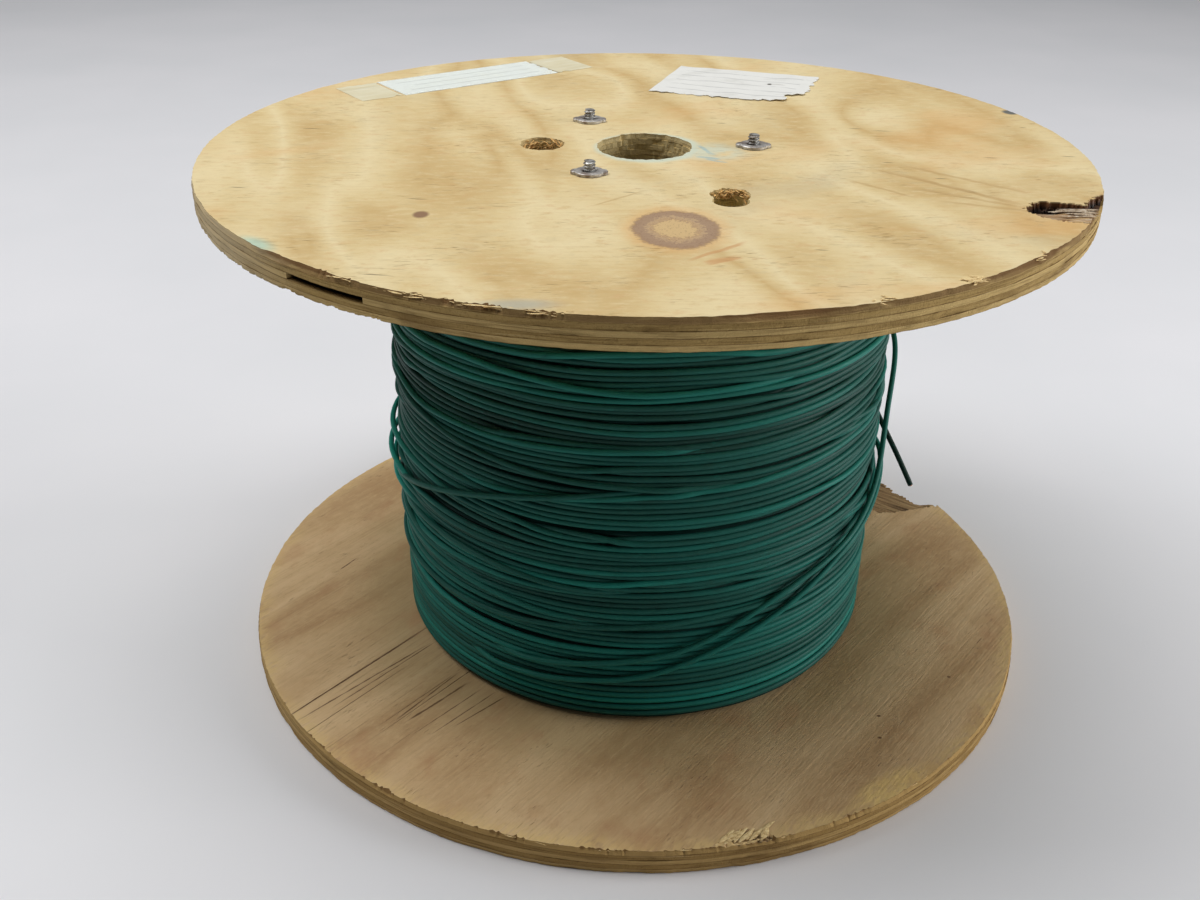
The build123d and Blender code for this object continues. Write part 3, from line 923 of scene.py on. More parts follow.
# Painted shade: the turns are lighter at the foot and darker towards the head, under the upper flange.
turn_tones_and_shade = turn_tones_and_shade + foot_lighter - head_painted_shade * ease((heights - shade_start) / shade_rise)
outer_green = insulation("green_insulation_outside", None)
points, faces = wire_tube(path, wire_radius, wire_sides)
outer_turns = add_piece("outer_turns", points, faces, (outer_green,), (), crease=60)
tint(outer_turns, np.repeat(turn_tones_and_shade, wire_sides))

crossing_count = 24
crossing_dive, crossing_end = 0.0055, 0.2
crossing_steps = 240
crossing_wander = 0.0016
crossing_lift, crossing_dip_share = 0.0003, 0.7
crossing_middle_tone, crossing_tone_spread = 0.55, 0.12
# Least and most of each strand's first angle, span, height and climb.
crossing_least = (0, 1.4, 0.045, -0.022)
crossing_most = (tau, 3.8, 0.195, 0.022)
crossing_points, crossing_faces, crossing_tones = [], [], []
crossings = draw.uniform(crossing_least, crossing_most, (crossing_count, 4))
for first, span, level, climb in crossings:
    share = np.linspace(0, 1, int(span / tau * crossing_steps))
    turns = first + span * share
    levels = level + climb * ease(share) + crossing_wander * waves(share, 0, 0.5, int(1000 * level))
    sunk_end = crossing_dive * (1 - ease(share / crossing_end) * ease((1 - share) / crossing_end))
    dip = crossing_dip_share * band_depth(turns, levels)
    radius = winding_radius(levels) + crossing_lift - dip - sunk_end
    points, faces = wire_tube(round_drum(turns, radius, levels), wire_radius, wire_sides)
    base = sum(len(part) for part in crossing_points)
    crossing_faces += [[base + corner for corner in face] for face in faces]
    crossing_points.append(points)
    strand_tone = draw.normal(crossing_middle_tone, crossing_tone_spread)
    crossing_tones.append(np.full(len(points), strand_tone))
crossing_turns = add_piece(
    "crossing_turns", np.vstack(crossing_points), crossing_faces, (outer_green,), (),
    crease=60)
tint(crossing_turns, np.concatenate(crossing_tones))

rib_count = int(winding_height / (2 * wire_radius))
rib_steps = 5
core_sides = 120
rib_share = np.arange(rib_count * rib_steps + 1) / rib_steps
core_heights = winding_low.z + end_room + (winding_height - 2 * end_room) * rib_share / rib_count
core_reach = winding_radius(core_heights) - under_layer - wire_radius * (1 - np.abs(np.sin(pi * rib_share)))
core_angles = np.arange(core_sides) * tau / core_sides
rings = [ring_of(winding_bore, core_heights[0], (0, 0), core_sides)]
for radius, height in zip(core_reach, core_heights):
    rings.append(ring_of(radius - band_depth(core_angles, height), height, (0, 0), core_sides))
rings.append(ring_of(winding_bore, core_heights[-1], (0, 0), core_sides))
# Painted shade: the inner layers seen in the gaps are darkened most of the way to near black, and given a low
# tone.
shaded_inner_green = insulation("green_insulation_inside_painted_shade", 0.65)
wound_core = add_piece(
    "wound_core", np.vstack(rings), join_rings(len(rings), core_sides, closed=True), (shaded_inner_green,),
    ("wire_winding",))
tint(wound_core, np.repeat(0.35 + 0.1 * np.sin(np.arange(len(rings)) * 1.7), core_sides))


# Stray turns: wires that jumped across the winding as it was wound, pulled slantwise over the other turns,
# slack on the right-hand side where one stands well off the pack.

stray_turns = (
    ((-128, -104, -80, -56, -33, -15, -4, 6, 16, 30, 46),
     (0.118, 0.141, 0.18, 0.282, 0.33, 0.395, 0.505, 0.6, 0.63, 0.67, 0.72),
     (0.0, 0.0, 0.0, 0.0, 0.4, 0.4, 0.6, 3.4, 4.3, 2.7, 0.2), 16, 0.58),
    ((-136, -112, -88, -64, -40, -20, -3, 13), (0.087, 0.092, 0.12, 0.205, 0.292, 0.335, 0.38, 0.41),
     (0.0, 0.0, 0.0, 0.0, 0.0, 0.3, 0.9, 0.1), 16, 0.62),
    ((-176, -156, -136, -116, -96, -76), (0.345, 0.395, 0.455, 0.51, 0.545, 0.555),
     (0.0, 0.0, 0.0, 0.0, 0.0, 0.0), 40, 0.5),
)
stray_clearance = 0.0003
stray_dive, first_dive = 0.0050, 16
stray_step, stray_evening = 0.5, 24
stray_sides = 12
for number, (angles, height_shares, stand_offs, last_dive, stray_tone) in enumerate(stray_turns, start=1):
    fine = np.arange(angles[0], angles[-1] + stray_step, stray_step)
    rise = smoothed(np.interp(fine, angles, height_shares), stray_evening)
    stand_off = smoothed(np.interp(fine, angles, stand_offs), stray_evening) * 2 * wire_radius
    levels = winding_low.z + rise * winding_height
    into_pack = stray_dive * (1 - ease((fine - fine[0]) / first_dive) * ease((fine[-1] - fine) / last_dive))
    radius = winding_radius(levels) + stray_clearance + wire_radius + stand_off - into_pack
    points, faces = wire_tube(round_drum(np.radians(fine), radius, levels), wire_radius, stray_sides)
    stray = add_piece(
        f"stray_turn_{number}_wire", points, faces, (outer_green,),
        (f"stray_turn_{number}",), crease=60)
    tint(stray, np.full(len(points), stray_tone))


# Free end of the wire: it comes out of the pack at the back right, arches over and hangs, cut off short.
# The conductor shows as a small copper disc at the cut.

tail_route = (
    (0.0983, 0.0450, 0.1030),
    (0.1076, 0.0275, 0.1002),
    (0.1142, 0.0100, 0.0895),
    (0.1205, 0.0017, 0.0790),
    (0.1260, -0.0040, 0.0684),
)
conductor_radius = 0.00065
tail_green = insulation("green_insulation_tail", None)
tail_curve = bpy.data.curves.new("wire_tail_cord", "CURVE")
tail_curve.dimensions = "3D"
tail_curve.bevel_depth = wire_radius
tail_curve.bevel_resolution = 4
tail_curve.use_fill_caps = True
tail_spline = tail_curve.splines.new("NURBS")
tail_spline.points.add(len(tail_route) - 1)
for point, place in zip(tail_spline.points, tail_route):
    point.co = (*place, 1.0)
tail_spline.order_u = 3
tail_spline.use_endpoint_u = True
tail_spline.resolution_u = 16
tail_curve.materials.append(tail_green.material)
wire_tail = put("wire_tail_cord", tail_curve)
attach(wire_tail, "root")
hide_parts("wire_tail")

copper = Finish("cut_copper", {"Metallic": 1.0})
copper_grain = copper.noise((0.0004, 0.0004, 0.0004), detail=2)
copper.colour(copper.ramp(copper_grain, (0.35, rgb(150, 84, 52)), (0.65, rgb(214, 142, 98))))
copper.dull(copper_grain, 0.3, 0.5)
copper.relief(copper_grain, 0.0001)
cut_end = np.array(tail_route[-1])
cut_ahead = np.array(tail_route[-1]) - np.array(tail_route[-2])
cut_ahead /= np.linalg.norm(cut_ahead)
cut_path = cut_end + np.linspace(-0.0006, 0.00035, 4)[:, None] * cut_ahead
points, faces = wire_tube(cut_path, conductor_radius, 14)
conductor = add_piece("cut_conductor", points, faces, (copper,), ())


# Upper flange: a disc like the lower one, newer looking and paler, with a broad knot at the front.
# Its rim is split at the right, a core ply has a gap at the front left, and the start hole is splintered.

upper_top = upper_high.z
upper_grain = 4.0
upper_figure = 106.0
pine_pale = rgb(237, 219, 173)
pine_middle = rgb(226, 203, 151)
pine_dark = rgb(210, 180, 124)
pine_fibre = rgb(190, 156, 104)
pine_orange = rgb(226, 176, 112)
pine_grey = rgb(196, 188, 160)
knot_brown = rgb(166, 138, 114)
knot_rim = rgb(150, 118, 90)
knot_heart = rgb(214, 184, 134)
old_dark = rgb(66, 44, 30)
copper_green = rgb(150, 212, 204)
blue_grey = rgb(172, 178, 170)
knot_place, knot_size = (0.0115, -0.1006), (0.0150, 0.0196)
small_knot = (-0.0769, -0.0908)
arbor_stain = (0.0276, -0.0060)
blue_streaks = (
    ((0.0215, 0.0040), (0.0285, -0.0120), 0.0016), ((0.0235, -0.0165), (0.0335, -0.0215), 0.0012),
    ((0.0200, -0.0130), (0.0310, -0.0170), 0.0015),
)
drive_place = (-0.0416, 0.0010)
drive_hole_radius = 0.0089
start_place = polar(0.0697, -62.9)
start_hole_radius = 0.0076
start_drag = 0.0070
tee_hole_radius = 0.0036
upper_streaks = (
    ((0.0931, -0.0280), (0.1400, -0.0715), 0.0022),
    ((0.0980, -0.0480), (0.1400, -0.0730), 0.0020),
    ((0.1050, -0.0640), (0.1440, -0.0765), 0.0018),
    ((0.0840, -0.0220), (0.1330, -0.0640), 0.0016),
    ((0.0980, -0.0180), (0.1450, -0.0560), 0.0018),
    ((0.0760, -0.0400), (0.1000, -0.0620), 0.0016),
    ((-0.0190, -0.0790), (0.0005, -0.0590), 0.0010),
)
resin_streaks = (
    ((0.0140, -0.1320), (0.0360, -0.1105), 0.0014), ((0.0190, -0.1330), (0.0330, -0.1260), 0.0030),
)
upper_dashes = (
    ((-0.1404, 0.0179), 0.006), ((-0.1488, -0.0642), 0.004), ((-0.0810, -0.0737), 0.005),
    ((-0.0816, -0.1486), 0.006), ((0.1626, 0.0394), 0.002), ((0.1383, -0.0078), 0.004),
    ((0.1128, -0.0370), 0.003), ((0.0586, -0.1184), 0.003), ((0.0547, 0.0466), 0.004),
    ((0.0960, -0.0170), 0.003), ((0.1700, -0.0040), 0.004), ((0.0330, 0.0380), 0.003),
    ((-0.0052, -0.0612), 0.0035), ((0.1010, 0.0300), 0.0055), ((0.0900, 0.0330), 0.004),
)
split = corners_at(
    (0.862, 0.868, 0.886, 0.924, 0.965, 0.971, 0.99, 1.03, 1.03, 0.945, 0.905, 0.883),
    (-27.8, -24.5, -23.5, -22.8, -22.5, -20.2, -17.8, -17.5, -28.8, -30.2, -30.0, -29.3),
)
crack = corners_at(
    (0.868, 0.872, 0.888, 0.924, 0.962, 0.96, 0.92, 0.885),
    (-27.0, -25.0, -24.0, -23.3, -23.0, -24.3, -25.0, -26.3),
)
split_depth = 1.4 * ply
crack_depth = 3 * ply
core_gap_angle = radians(-124)
core_gap_length = 0.033
core_gap_depth = 0.009
core_gap_ply = 2


def upper_rim(angles, number):
    """Sawn round, with a gap in the core ply at the front left."""
    reach = sawn_rim(angles, number, 0.020, 140)
    if number == core_gap_ply:
        off = np.abs((angles - core_gap_angle + pi) % tau - pi) * flange_radius
        reach = np.where(off < core_gap_length / 2, reach - core_gap_depth, reach)
    return reach


def upper_worn_edge(angles, number):
    """Rubbed round, flaked below at the left and above at the front, and chipped away at the right."""
    arc = angles * flange_radius
    if number:
        flakes = flaked_edge(arc, 0.014, 0.0025, 0.8, 0.3, 175) * facing(angles, -137, 0.9, 0.06)
        return 0.0004 + 0.0001 * waves(arc, 0, 0.005, 177) + 0.0011 * flakes
    flakes = flaked_edge(arc, 0.012, 0.0020, 0.9, 0.4, 171) * facing(angles, -110, 0.95, 0.03)
    lost = np.clip(0.5 + 0.7 * waves(arc, 0, 0.045, 173) + 0.12 * waves(arc, 0, 0.006, 174), 0, 1)
    patch = ease((angles - radians(226)) / radians(2)) * ease((radians(239) - angles) / radians(3))
    worn = flakes + 0.85 * lost * facing(angles, -52, 0.78, 0.12) + 0.7 * patch
    return 0.0004 + 0.0001 * waves(arc, 0, 0.005, 170) + 0.0014 * worn


def upper_sunk(places):
    """The split in the rim: the face ply broken out in strands, and a deep crack behind them."""
    ragged = torn_wander(places, 0.0006, 0.0004, 180)
    strands = waves(places[:, 0] / 9, places[:, 1], 0.0020, 182)
    before_crack = np.maximum(-depth_inside(places, crack), 0)
    in_front = ease((crack[0, 1] + 0.166 * (places[:, 0] - crack[0, 0]) - places[:, 1]) / 0.002)
    floor = split_depth * (1 - 0.75 * in_front * ease(before_crack / 0.007)) + 0.0005 * strands
    opened = ease((depth_inside(places, split) + ragged) / 0.0009) * np.maximum(floor, 0.0003)
    deep = ease((depth_inside(places, crack) + ragged) / 0.0005) * crack_depth
    return np.maximum(opened, deep)


def arbor_edge(angles, number):
    """Bored round, with a lip of the two upper plies left standing at the back left."""
    lip = ease((angles - radians(119)) / radians(5)) * ease((radians(168) - angles) / radians(30))
    return hole_edge(arbor_radius, 0.00028, 190)(angles, number) - 0.0012 * lip * (number < 2)


def start_hole_edge(angles, number):
    """Bored round, then torn longer towards the rim by the wire, most in the upper plies."""
    drag = start_drag * (1 - 0.18 * number)
    torn = -drag * np.sin(angles) + np.sqrt(np.maximum(0.0066**2 - (drag * np.cos(angles)) ** 2, 0))
    bored = hole_edge(start_hole_radius - 0.0004, 0.0004, 200)(angles, number)
    return np.where(np.sin(angles) < 0, np.maximum(bored, torn), bored)


upper_holes = [
    ((0.0, 0.0), arbor_edge),
    (drive_place, hole_edge(drive_hole_radius, 0.0003, 195)),
    (start_place, start_hole_edge),
]
upper_holes += [(place, hole_edge(tee_hole_radius, 0.00005, 205)) for place in bolt_places]

wood = veneer(
    "pale_face_ply", upper_grain, upper_figure, (0.20, 0.06, 1.0),
    pine_pale, pine_middle, pine_dark, pine_fibre)
wood.paint(pine_orange, wood.patches(0.55, 0.75, (0.09, 0.05, 1.0), 20, detail=3), 0.42)
wood.paint(pine_grey, wood.patches(0.58, 0.8, (0.05, 0.07, 1.0), -30, detail=4), 0.35)
flecks = wood.noise((0.007, 0.004, 1.0), upper_grain, detail=5, roughness=0.7)
wood.paint(rgb(214, 170, 118), wood.fade(flecks, 0.52, 0.70), 0.32)
wood.paint(rgb(208, 190, 148), wood.fade(flecks, 0.46, 0.30), 0.30)
wood.paint_streaks(pine_fibre, upper_streaks, 1.6, 0.5)
wood.paint_streaks(rgb(204, 142, 88), resin_streaks, 2.0, 0.55)
for place, length in upper_dashes:
    wood.paint(old_dark, wood.spot(place, (length, 0.0005), upper_grain - 8, core=0.3), 0.7)
wobble = wood.calc("SUBTRACT", wood.noise((0.012, 0.008, 1.0), detail=3), 0.5)
fuzz = wood.calc("SUBTRACT", wood.noise((0.0014, 0.0011, 1.0), detail=4, roughness=0.7), 0.5)
knot = wood.calc("ADD", wood.reach(knot_place, knot_size, 6), wood.times(wobble, 0.22))
knot_edge = wood.calc("ADD", knot, wood.times(fuzz, 0.30))
knot = wood.calc("ADD", knot, wood.times(fuzz, 0.75))
wood.paint(pine_orange, wood.fade(knot_edge, 1.45, 0.95), 0.5)
knot_colour = wood.ramp(
    knot, (0.0, knot_heart), (0.42, knot_heart), (0.52, rgb(176, 144, 112)), (0.60, rgb(200, 171, 133)),
    (0.69, knot_brown), (0.90, knot_brown), (1.0, knot_rim))
wood.paint(knot_colour, wood.fade(knot_edge, 1.06, 0.92), 0.92)
knot_checks = wood.patches(0.56, 0.66, (0.0007, 0.0015, 1.0), detail=4, roughness=0.7)
wood.paint(rgb(128, 94, 72), wood.times(knot_checks, wood.fade(knot, 1.05, 0.85)), 0.5)
wood.paint(knot_rim, wood.spot(small_knot, (0.0032, 0.0042), edge=1.1, core=0.6))
stain = wood.times(
    wood.spot(arbor_stain, (0.020, 0.017), core=0.3),
    wood.patches(0.3, 0.6, (0.009, 0.009, 1.0), detail=4), 0.6)
round_arbor = wood.calc("ADD", wood.reach((0.0017, -0.0017), (0.0226, 0.0224)), wood.times(wobble, 0.20))
round_arbor = wood.times(wood.fade(round_arbor, 1.05, 0.85), 0.75)
wood.paint(rgb(208, 223, 208), wood.calc("MAXIMUM", stain, round_arbor))
wood.paint_streaks(rgb(156, 190, 196), blue_streaks, 2.0, 0.6)
wood.paint(copper_green, wood.spot((-0.1259, -0.1233), (0.013, 0.006), -44, core=0.2), 0.55)
wood.paint(blue_grey, wood.spot((-0.0361, -0.1700), (0.018, 0.006), 4, core=0.2), 0.6)
wood.paint(rgb(110, 112, 108), wood.spot((0.1632, 0.0654), (0.004, 0.005), 20))
bruise = wood.calc("ADD", wood.reach((0.1022, -0.1422), (0.0050, 0.0036), 36), fuzz)
wood.paint(rgb(240, 216, 160), wood.fade(bruise, 1.1, 0.7), 0.7)
below_top = wood.depth_below(upper_top)
torn_open = wood.times(wood.fade(below_top, 0.00015, 0.0006), wood.fade(below_top, 0.0110, 0.0100))
torn_and_shaded_colour = wood.ramp(
    wood.noise((0.016, 0.0011, 1.0), upper_grain, detail=4, roughness=0.6), (0.3, rgb(96, 68, 46)),
    (0.45, rgb(158, 120, 80)), (0.58, rgb(188, 160, 126)), (0.75, rgb(222, 212, 196)))
# Painted shade: the torn wood darkens with depth below the face, to near black at the bottom of the split.
torn_and_shaded_colour = wood.mix(wood.fade(below_top, 0.0011, 0.0026), torn_and_shaded_colour, rgb(70, 44, 24))
torn_and_shaded_colour = wood.mix(wood.fade(below_top, 0.0032, 0.0044), torn_and_shaded_colour, rgb(20, 13, 8))
slot_start, slot_end = (0.1330, -0.0700), (0.1680, -0.0642)
# Painted shade: the slot of the deep crack is near black, brown only at its end by the rim.
slot_shade_colour = wood.mix(
    wood.spot(slot_end, (0.012, 0.012), edge=1.2, core=0.4), rgb(18, 12, 9), rgb(84, 56, 32))
torn_and_shaded_colour = wood.mix(wood.streak(slot_start, slot_end, 0.0042, 0.5), torn_and_shaded_colour, slot_shade_colour)
# Painted shade: the steep walls of the split are brown at the top and near black deeper down.
facing_up = wood.part(wood.add("NewGeometry").outputs["True Normal"], "Z")
shaded_torn_wall = wood.mix(wood.fade(below_top, 0.0005, 0.0030), rgb(118, 76, 42), rgb(34, 21, 13))
torn_and_shaded_colour = wood.mix(wood.fade(facing_up, 0.80, 0.45), torn_and_shaded_colour, shaded_torn_wall)
wood.paint(torn_and_shaded_colour, torn_open)

edge = ply_edge(
    # The near-black fourth tone is painted shade inside the gap in the core ply.
    "pale_ply_edge", upper_top, rgb(204, 174, 114), rgb(180, 150, 92), rgb(108, 80, 40), rgb(34, 25, 15),
    # The pale last tone is painted light for the left side of the rim.
    rgb(110, 77, 43), rgb(242, 229, 198))
points, faces, numbers = plywood_disc(
    upper_top, upper_rim, upper_worn_edge, upper_sunk, upper_holes, ((split, 0.00045),))
add_piece(
    "upper_flange_plywood", points, faces, (wood, edge), ("upper_flange",), numbers)

draw = np.random.default_rng(184)
grey_wood = torn_wood_finish("torn_grey_wood", rgb(228, 220, 206), rgb(192, 172, 146), rgb(112, 84, 60))
split_strips = []
for x, y, length, lean, lift in draw.uniform(
        (0.150, -0.0800, 0.006, -12, -0.0010), (0.166, -0.0690, 0.015, 8, 0.0002), (18, 5)):
    half_run = np.array((cos(radians(lean)), sin(radians(lean)), 0.03)) * length / 2
    middle = np.array((x, y, upper_top + lift))
    middle[0] -= max(0.0, np.hypot(*(middle + half_run)[:2]) - (flange_radius - 0.0008))
    split_strips.append((middle - half_run, middle + half_run, draw.uniform(0.0007, 0.0014)))
splinters("split_splinters", split_strips, grey_wood, 185)

frayed_strips = frayed_rim(
    draw, upper_top, draw.uniform(radians(-123), radians(-97), 64), insets=(0.0005, 0.0028),
    drops=(0.0001, 0.0010), lean=12, slope=0.12, half_lengths=(0.0018, 0.0050), widths=(0.0005, 0.0011))
for chip_angle, chip_count, chip_run in ((-42.5, 6, 0.0010), (-54.3, 34, 0.0015), (-65.5, 8, 0.0010)):
    for turn, inset, spin in draw.uniform(
            (chip_angle - 1.2, 0.0005, -60), (chip_angle + 1.2, 0.0042, 60), (chip_count, 3)):
        frayed_strips.append(sliver(
            radians(turn), flange_radius - inset, upper_top + draw.uniform(-0.0005, 0.0003),
            radians(turn + 90 + spin), draw.uniform(-0.2, 0.2), draw.uniform(1, 2) * chip_run,
            draw.uniform(0.0006, 0.0012)))
splinters("frayed_edge_splinters", frayed_strips, straw_wood, 186)

amber_wood = torn_wood_finish("torn_amber_wood", rgb(252, 220, 158), rgb(232, 186, 118), rgb(140, 100, 56))
frayed_holes = ((start_place, start_hole_radius, 44, 0.0034), (drive_place, drive_hole_radius, 70, 0.0055))
hole_strips = []
for place, radius, count, depth in frayed_holes:
    for turn, inset, drop, slope in draw.uniform(
            (15, 0.0001, 0.0003, -0.7), (165, 0.0018, depth, 0.7), (count, 4)):
        hole_strips.append(sliver(
            radians(turn), radius - inset, upper_top - drop, radians(turn + 90 + draw.uniform(-15, 15)),
            slope, draw.uniform(0.0008, 0.0022), draw.uniform(0.0004, 0.0009), about=place))
splinters("hole_edge_splinters", hole_strips, amber_wood, 187)


# Tee nuts: stamped zinc-plated plates driven into the upper flange, one on each tie bolt.
# Each has a round plate with a narrow ear on two sides, and a threaded sleeve down in the wood.

tee_zinc = zinc("zinc_tee_nut", rgb(206, 203, 199), rgb(160, 155, 151), rgb(118, 94, 80))
tee_plate_radius = 0.0057
tee_half_span = 0.0072
tee_ear_half = 0.0023
tee_thickness = 0.0015
tee_sleeve_radius = 0.0035
tee_sleeve_length = 0.0075
tee_sides = 144
spin = np.arange(tee_sides) * tau / tee_sides
ear_end = tee_half_span - tee_ear_half
ear_reach = ear_end * np.abs(np.cos(spin)) + np.sqrt(
    np.maximum(tee_ear_half**2 - (ear_end * np.sin(spin)) ** 2, 0))
on_ear = np.abs(np.sin(spin)) * ear_end < tee_ear_half
plate_reach = np.maximum(tee_plate_radius, np.where(on_ear, ear_reach, 0))
tee_top = upper_top + tee_thickness
sleeve_end = upper_top - tee_sleeve_length
tee_outline = (
    (bolt_hole_radius, sleeve_end), (tee_sleeve_radius, sleeve_end), (tee_sleeve_radius, upper_top),
    (plate_reach - 0.0002, upper_top), (plate_reach, upper_top + 0.0002), (plate_reach, tee_top - 0.0004),
    (plate_reach - 0.0003, tee_top - 0.0001), (0.55 * plate_reach + 0.001, tee_top), (0.0034, tee_top),
    (0.0029, tee_top - 0.0002), (bolt_hole_radius, tee_top - 0.0005))
for number, place in enumerate(bolt_places, start=1):
    rings = [ring_of(radius, height, place, tee_sides) for radius, height in tee_outline]
    add_piece(
        f"tee_nut_{number}_plate", np.vstack(rings), join_rings(len(rings), tee_sides, closed=True),
        (tee_zinc,), (f"tee_nut_{number}",))


# Paper labels: two plain paper slips on the upper flange. One is stuck down by itself, with its front
# right corner torn away; the other lies under a longer strip of clear tape.

paper_thickness = 0.0002
paper_white = rgb(234, 234, 230)
paper_grey = rgb(214, 214, 208)
paper_cool = rgb(234, 241, 239)
paper_cream = rgb(236, 241, 234)


def paper(name, sheet_tone, soil_tone, place, turn, size, line_space):
    """Soft uncoated paper, faintly fibrous, soiled and creased, with faint ruled lines."""
    finish = Finish(name, {"Specular IOR Level": 0.2})
    fibre = finish.noise((0.0012, 0.0008, 0.001), 15, detail=4)
    soil = finish.noise((0.016, 0.010, 1.0), 10, detail=4, roughness=0.6)
    finish.colour(finish.mix(finish.fade(soil, 0.5, 0.78), sheet_tone, soil_tone))
    finish.paint(soil_tone, fibre, 0.15)
    sheet = finish.stretch((size[0] / 2, line_space, 1.0), turn, (*place, 0))
    line = finish.fade(finish.calc("PINGPONG", finish.part(sheet, "Y"), 0.5), 0.10, 0.03)
    margin = finish.fade(finish.calc("ABSOLUTE", finish.part(sheet, "X")), 0.86, 0.82)
    finish.paint(rgb(150, 150, 152), finish.times(line, margin, finish.fade(soil, 0.3, 0.5)), 0.4)
    finish.dull(fibre, 0.75, 0.9)
    finish.relief(finish.noise((0.02, 0.006, 1.0), -17, detail=2), 0.0006)
    finish.relief(fibre, 0.0001)
    return finish


def thin_sheet(corners, torn, place, turn, base, thickness, spacing, lift, seed):
    """Points and faces of a thin sheet on a face: its outline, ragged on the torn sides, and its waves."""
    outline = []
    for index, (start, end) in enumerate(zip(corners, np.roll(corners, -1, axis=0))):
        count = max(2, int(np.hypot(*(end - start)) / spacing))
        shares = np.arange(count) / count
        side = start + shares[:, None] * (end - start)
        if index in torn:
            across = np.array((start[1] - end[1], end[0] - start[0]))
            across = across / np.hypot(*across)
            fray = waves(*side.T, 0.004, seed) + 0.6 * waves(*side.T, 0.0015, seed + 1)
            side = side + 0.0008 * (fray * ease(shares * 6) * ease((1 - shares) * 6))[:, None] * across
        outline.append(side)
    outline = np.vstack(outline)
    low, high = outline.min(0), outline.max(0)
    grid = np.array([(x, y) for x in np.arange(low[0], high[0], 2 * spacing)
                     for y in np.arange(low[1], high[1], 2 * spacing)])
    grid = grid[depth_inside(grid, outline) > spacing]
    flat = np.vstack((outline, grid))
    top_faces = fill((outline,), grid)
    rise = base + thickness + lift(flat)
    spread = turned(flat, turn) + place
    upper = np.column_stack((spread, rise))
    lower = np.column_stack((spread, rise - thickness))
    count, edge = len(flat), len(outline)
    faces = [list(face) for face in top_faces]
    faces += [[corner + count for corner in reversed(face)] for face in top_faces]
    faces += [[i, i + count, (i + 1) % edge + count, (i + 1) % edge] for i in range(edge)]
    return np.vstack((upper, lower)), faces


torn_size = np.array((0.070, 0.056))
torn_corners = torn_size * (
    (-0.5, 0.5), (-0.5, -0.5), (0.2, -0.5), (0.42, -0.42), (0.38, -0.26), (0.5, -0.18), (0.5, 0.5))
torn_turn = -17.0
torn_place = polar(0.664 * flange_radius, 68.6)


def torn_lift(flat):
    """Waves in the paper, and the loose corner at the tear standing up."""
    loose_corner = ease((np.hypot(flat[:, 0] - 0.03, flat[:, 1] + 0.02) - 0.02) / -0.016)
    return 0.00005 + 0.00016 * (1 + waves(*flat.T, 0.022, 210)) + 0.0005 * loose_corner


points, faces = thin_sheet(
    torn_corners, (1, 2, 3, 4, 5), torn_place, torn_turn, upper_top, paper_thickness, 0.0008, torn_lift, 211)
torn_paper = paper("torn_paper", paper_white, paper_grey, torn_place, torn_turn, torn_size, 0.0095)
nail_along, nail_across = 0.0157, 0.0043
slit_along = (nail_along - 0.003, nail_along + 0.0085)
nail_place, slit_start, slit_end = [
    turned((along, nail_across), torn_turn) + torn_place for along in (nail_along, *slit_along)]
torn_paper.paint(rgb(140, 134, 122), torn_paper.streak(slit_start, slit_end, 0.0006, 0.6), 0.6)
torn_paper.paint(rgb(66, 60, 50), torn_paper.spot(nail_place, (0.0013, 0.0017), core=0.6))
add_piece("paper_label_torn_sheet", points, faces, (torn_paper,), ("paper_label_torn",))

taped_size = np.array((0.084, 0.030))
whole_sheet = ((-0.5, 0.5), (-0.5, -0.5), (0.5, -0.5), (0.5, 0.5))
taped_turn = 37.0
taped_place = polar(0.808 * flange_radius, 126.8)


def taped_lift(flat):
    """Pressed flat by the tape."""
    return np.full(len(flat), 0.00002)


points, faces = thin_sheet(
    taped_size * whole_sheet, (2,), taped_place, taped_turn, upper_top, paper_thickness, 0.0010,
    taped_lift, 221)
taped_paper = paper("taped_paper", paper_cool, paper_cream, taped_place, taped_turn, taped_size, 0.0075)
add_piece("paper_label_taped_sheet", points, faces, (taped_paper,), ("paper_label_taped",))


# Label tape: a strip of clear packing tape over the second label, yellowed with age and creased,
# stuck to the paper in the middle and to the wood at both ends.

tape_thickness = 0.00008
tape_size = np.array((0.127, 0.029))


def tape(name, cover, *tones):
    """Old packing tape: streaked along its length, blistered where it no longer holds."""
    finish = Finish(name, {"Alpha": cover, "Coat Weight": 0.2, "Coat Roughness": 0.2})
    film = finish.noise((0.02, 0.004, 1.0), taped_turn, detail=3)
    blisters = finish.noise((0.003, 0.0025, 1.0), taped_turn, detail=2)
    finish.colour(finish.ramp(film, *zip((0.3, 0.6, 0.8), tones)))
    finish.dull(film, 0.25, 0.45)
    finish.relief(film, 0.0005)
    finish.relief(blisters, 0.0002)
    return finish


tape_on_paper = tape("tape_on_paper", 0.07, rgb(244, 238, 216), rgb(250, 246, 232), rgb(252, 251, 244))
tape_on_wood = tape("tape_on_wood", 0.97, rgb(244, 233, 194), rgb(250, 242, 210), rgb(254, 250, 230))


def tape_lift(flat):
    """Up over the paper and down to the wood past its ends, with slight waves."""
    on_paper = ease((taped_size[0] / 2 + 0.002 - np.abs(flat[:, 0])) / 0.003)
    return 0.00006 + (paper_thickness + 0.00005) * on_paper + 0.00003 * (1 + waves(*flat.T, 0.012, 230))


points, faces = thin_sheet(
    tape_size * whole_sheet, (1, 3), taped_place, taped_turn, upper_top, tape_thickness, 0.0010,
    tape_lift, 231)
tape_along = (cos(radians(taped_turn)), sin(radians(taped_turn)))
middles = np.array([points[face, :2].mean(axis=0) for face in faces])
past_paper = np.abs((middles - taped_place) @ tape_along) > taped_size[0] / 2 + 0.001
add_piece(
    "label_tape_film", points, faces, (tape_on_paper, tape_on_wood), ("label_tape",),
    past_paper.astype(int).tolist())


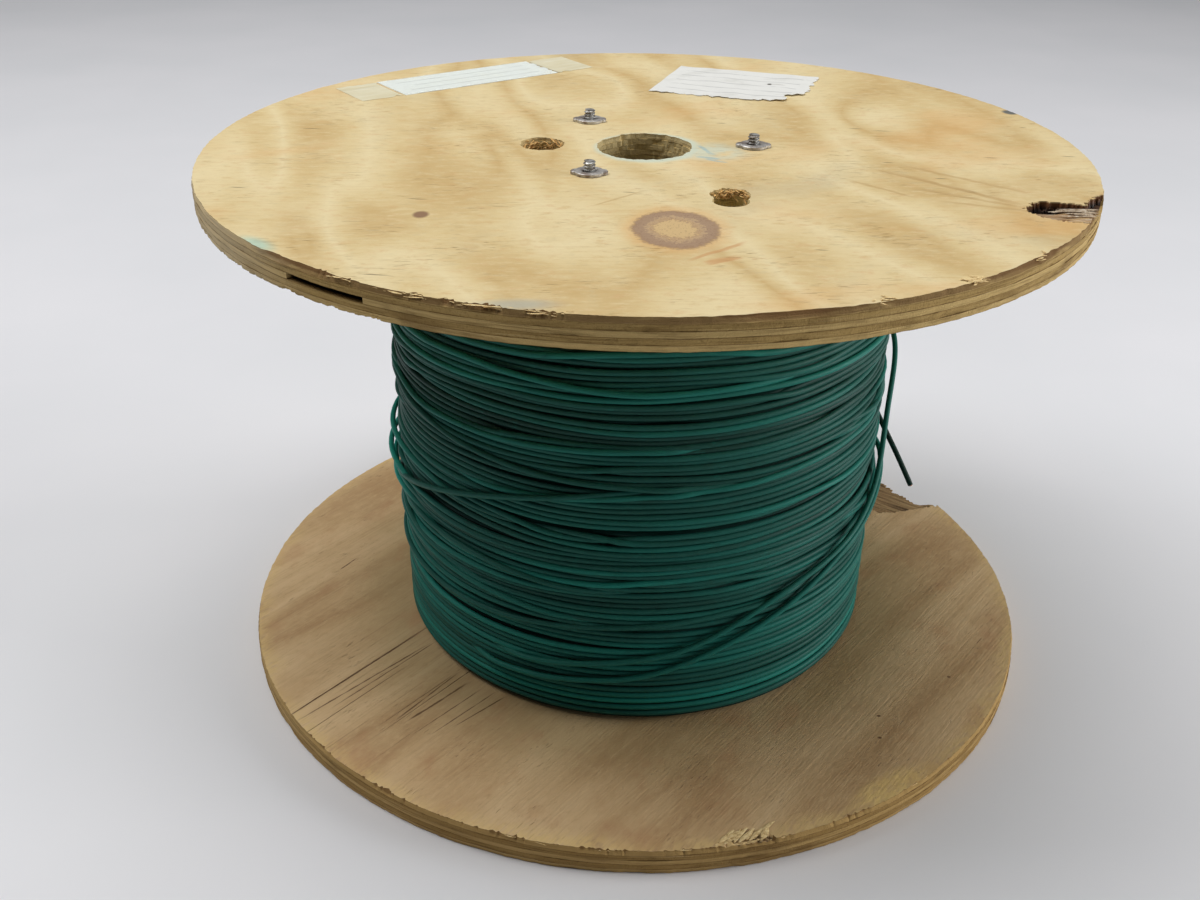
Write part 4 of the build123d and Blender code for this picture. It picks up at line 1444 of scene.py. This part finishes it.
# Stage: a plain pale floor under the drum, soft light from above and from both sides, and the camera
# in the place of the photograph's.

floor_half = 6.0
floor_finish = Finish("pale_floor", {"Specular IOR Level": 0.2})
floor_grain = floor_finish.noise((0.2, 0.2, 0.2), detail=3)
floor_finish.colour(floor_finish.ramp(floor_grain, (0.3, rgb(226, 227, 231)), (0.7, rgb(231, 231, 235))))
floor_finish.dull(floor_grain, 0.7, 0.8)
floor_mesh = bpy.data.meshes.new("pale_floor")
floor_mesh.from_pydata(
    [(2 * floor_half * x, 2 * floor_half * y, 0) for x, y in whole_sheet], [], [(0, 1, 2, 3)])
floor_mesh.materials.append(floor_finish.material)
pale_floor = put("pale_floor", floor_mesh)

world = bpy.data.worlds.new("studio")
bpy.context.scene.world = world
world.use_nodes = True
backdrop = world.node_tree.nodes["Background"]
backdrop.inputs["Color"].default_value = rgb(226, 229, 234)
backdrop.inputs["Strength"].default_value = 0.105


def softbox(name, place, aim, size, watts, tone):
    """A square lamp turned to face a place."""
    lamp = bpy.data.lights.new(name, "AREA")
    lamp.shape = "SQUARE"
    lamp.size = size
    lamp.energy = watts
    lamp.color = tone
    box = put(name, lamp)
    box.location = place
    box.rotation_euler = (Vector(aim) - Vector(place)).to_track_quat("-Z", "Y").to_euler()


softbox("overhead_light", (-0.1, 0.46, 2.6), (0, 0.1, 0.15), 2.2, 38.0, (1.0, 0.99, 0.97))
softbox("left_light", (-1.25, 0.15, 1.8), (0, 0, 0.1), 1.0, 17.0, (1.0, 1.0, 1.0))
softbox("right_light", (1.7, -0.08, 0.48), (0, 0, 0.1), 0.9, 20.0, (1.0, 1.0, 1.0))

camera_place = (0.0, -0.5205, 0.3676)
camera_pitch, camera_yaw, camera_roll = 0.5037, -0.0323, 0.0091
camera_data = bpy.data.cameras.new("camera")
camera_data.sensor_width = 36.0
camera_data.lens = 38.77
camera_data.clip_start = 0.01
flat_share = cos(camera_pitch)
ahead = Vector((sin(camera_yaw) * flat_share, cos(camera_yaw) * flat_share, -sin(camera_pitch)))
right = Vector((cos(camera_yaw), -sin(camera_yaw), 0))
up = right.cross(ahead)
rolled_right = right * cos(camera_roll) + up * sin(camera_roll)
rolled_up = up * cos(camera_roll) - right * sin(camera_roll)
camera = put("camera", camera_data)
camera.matrix_world = Matrix((rolled_right, rolled_up, -ahead)).transposed().to_4x4()
camera.location = camera_place
bpy.context.scene.camera = camera
bpy.context.scene.view_settings.view_transform = "Standard"
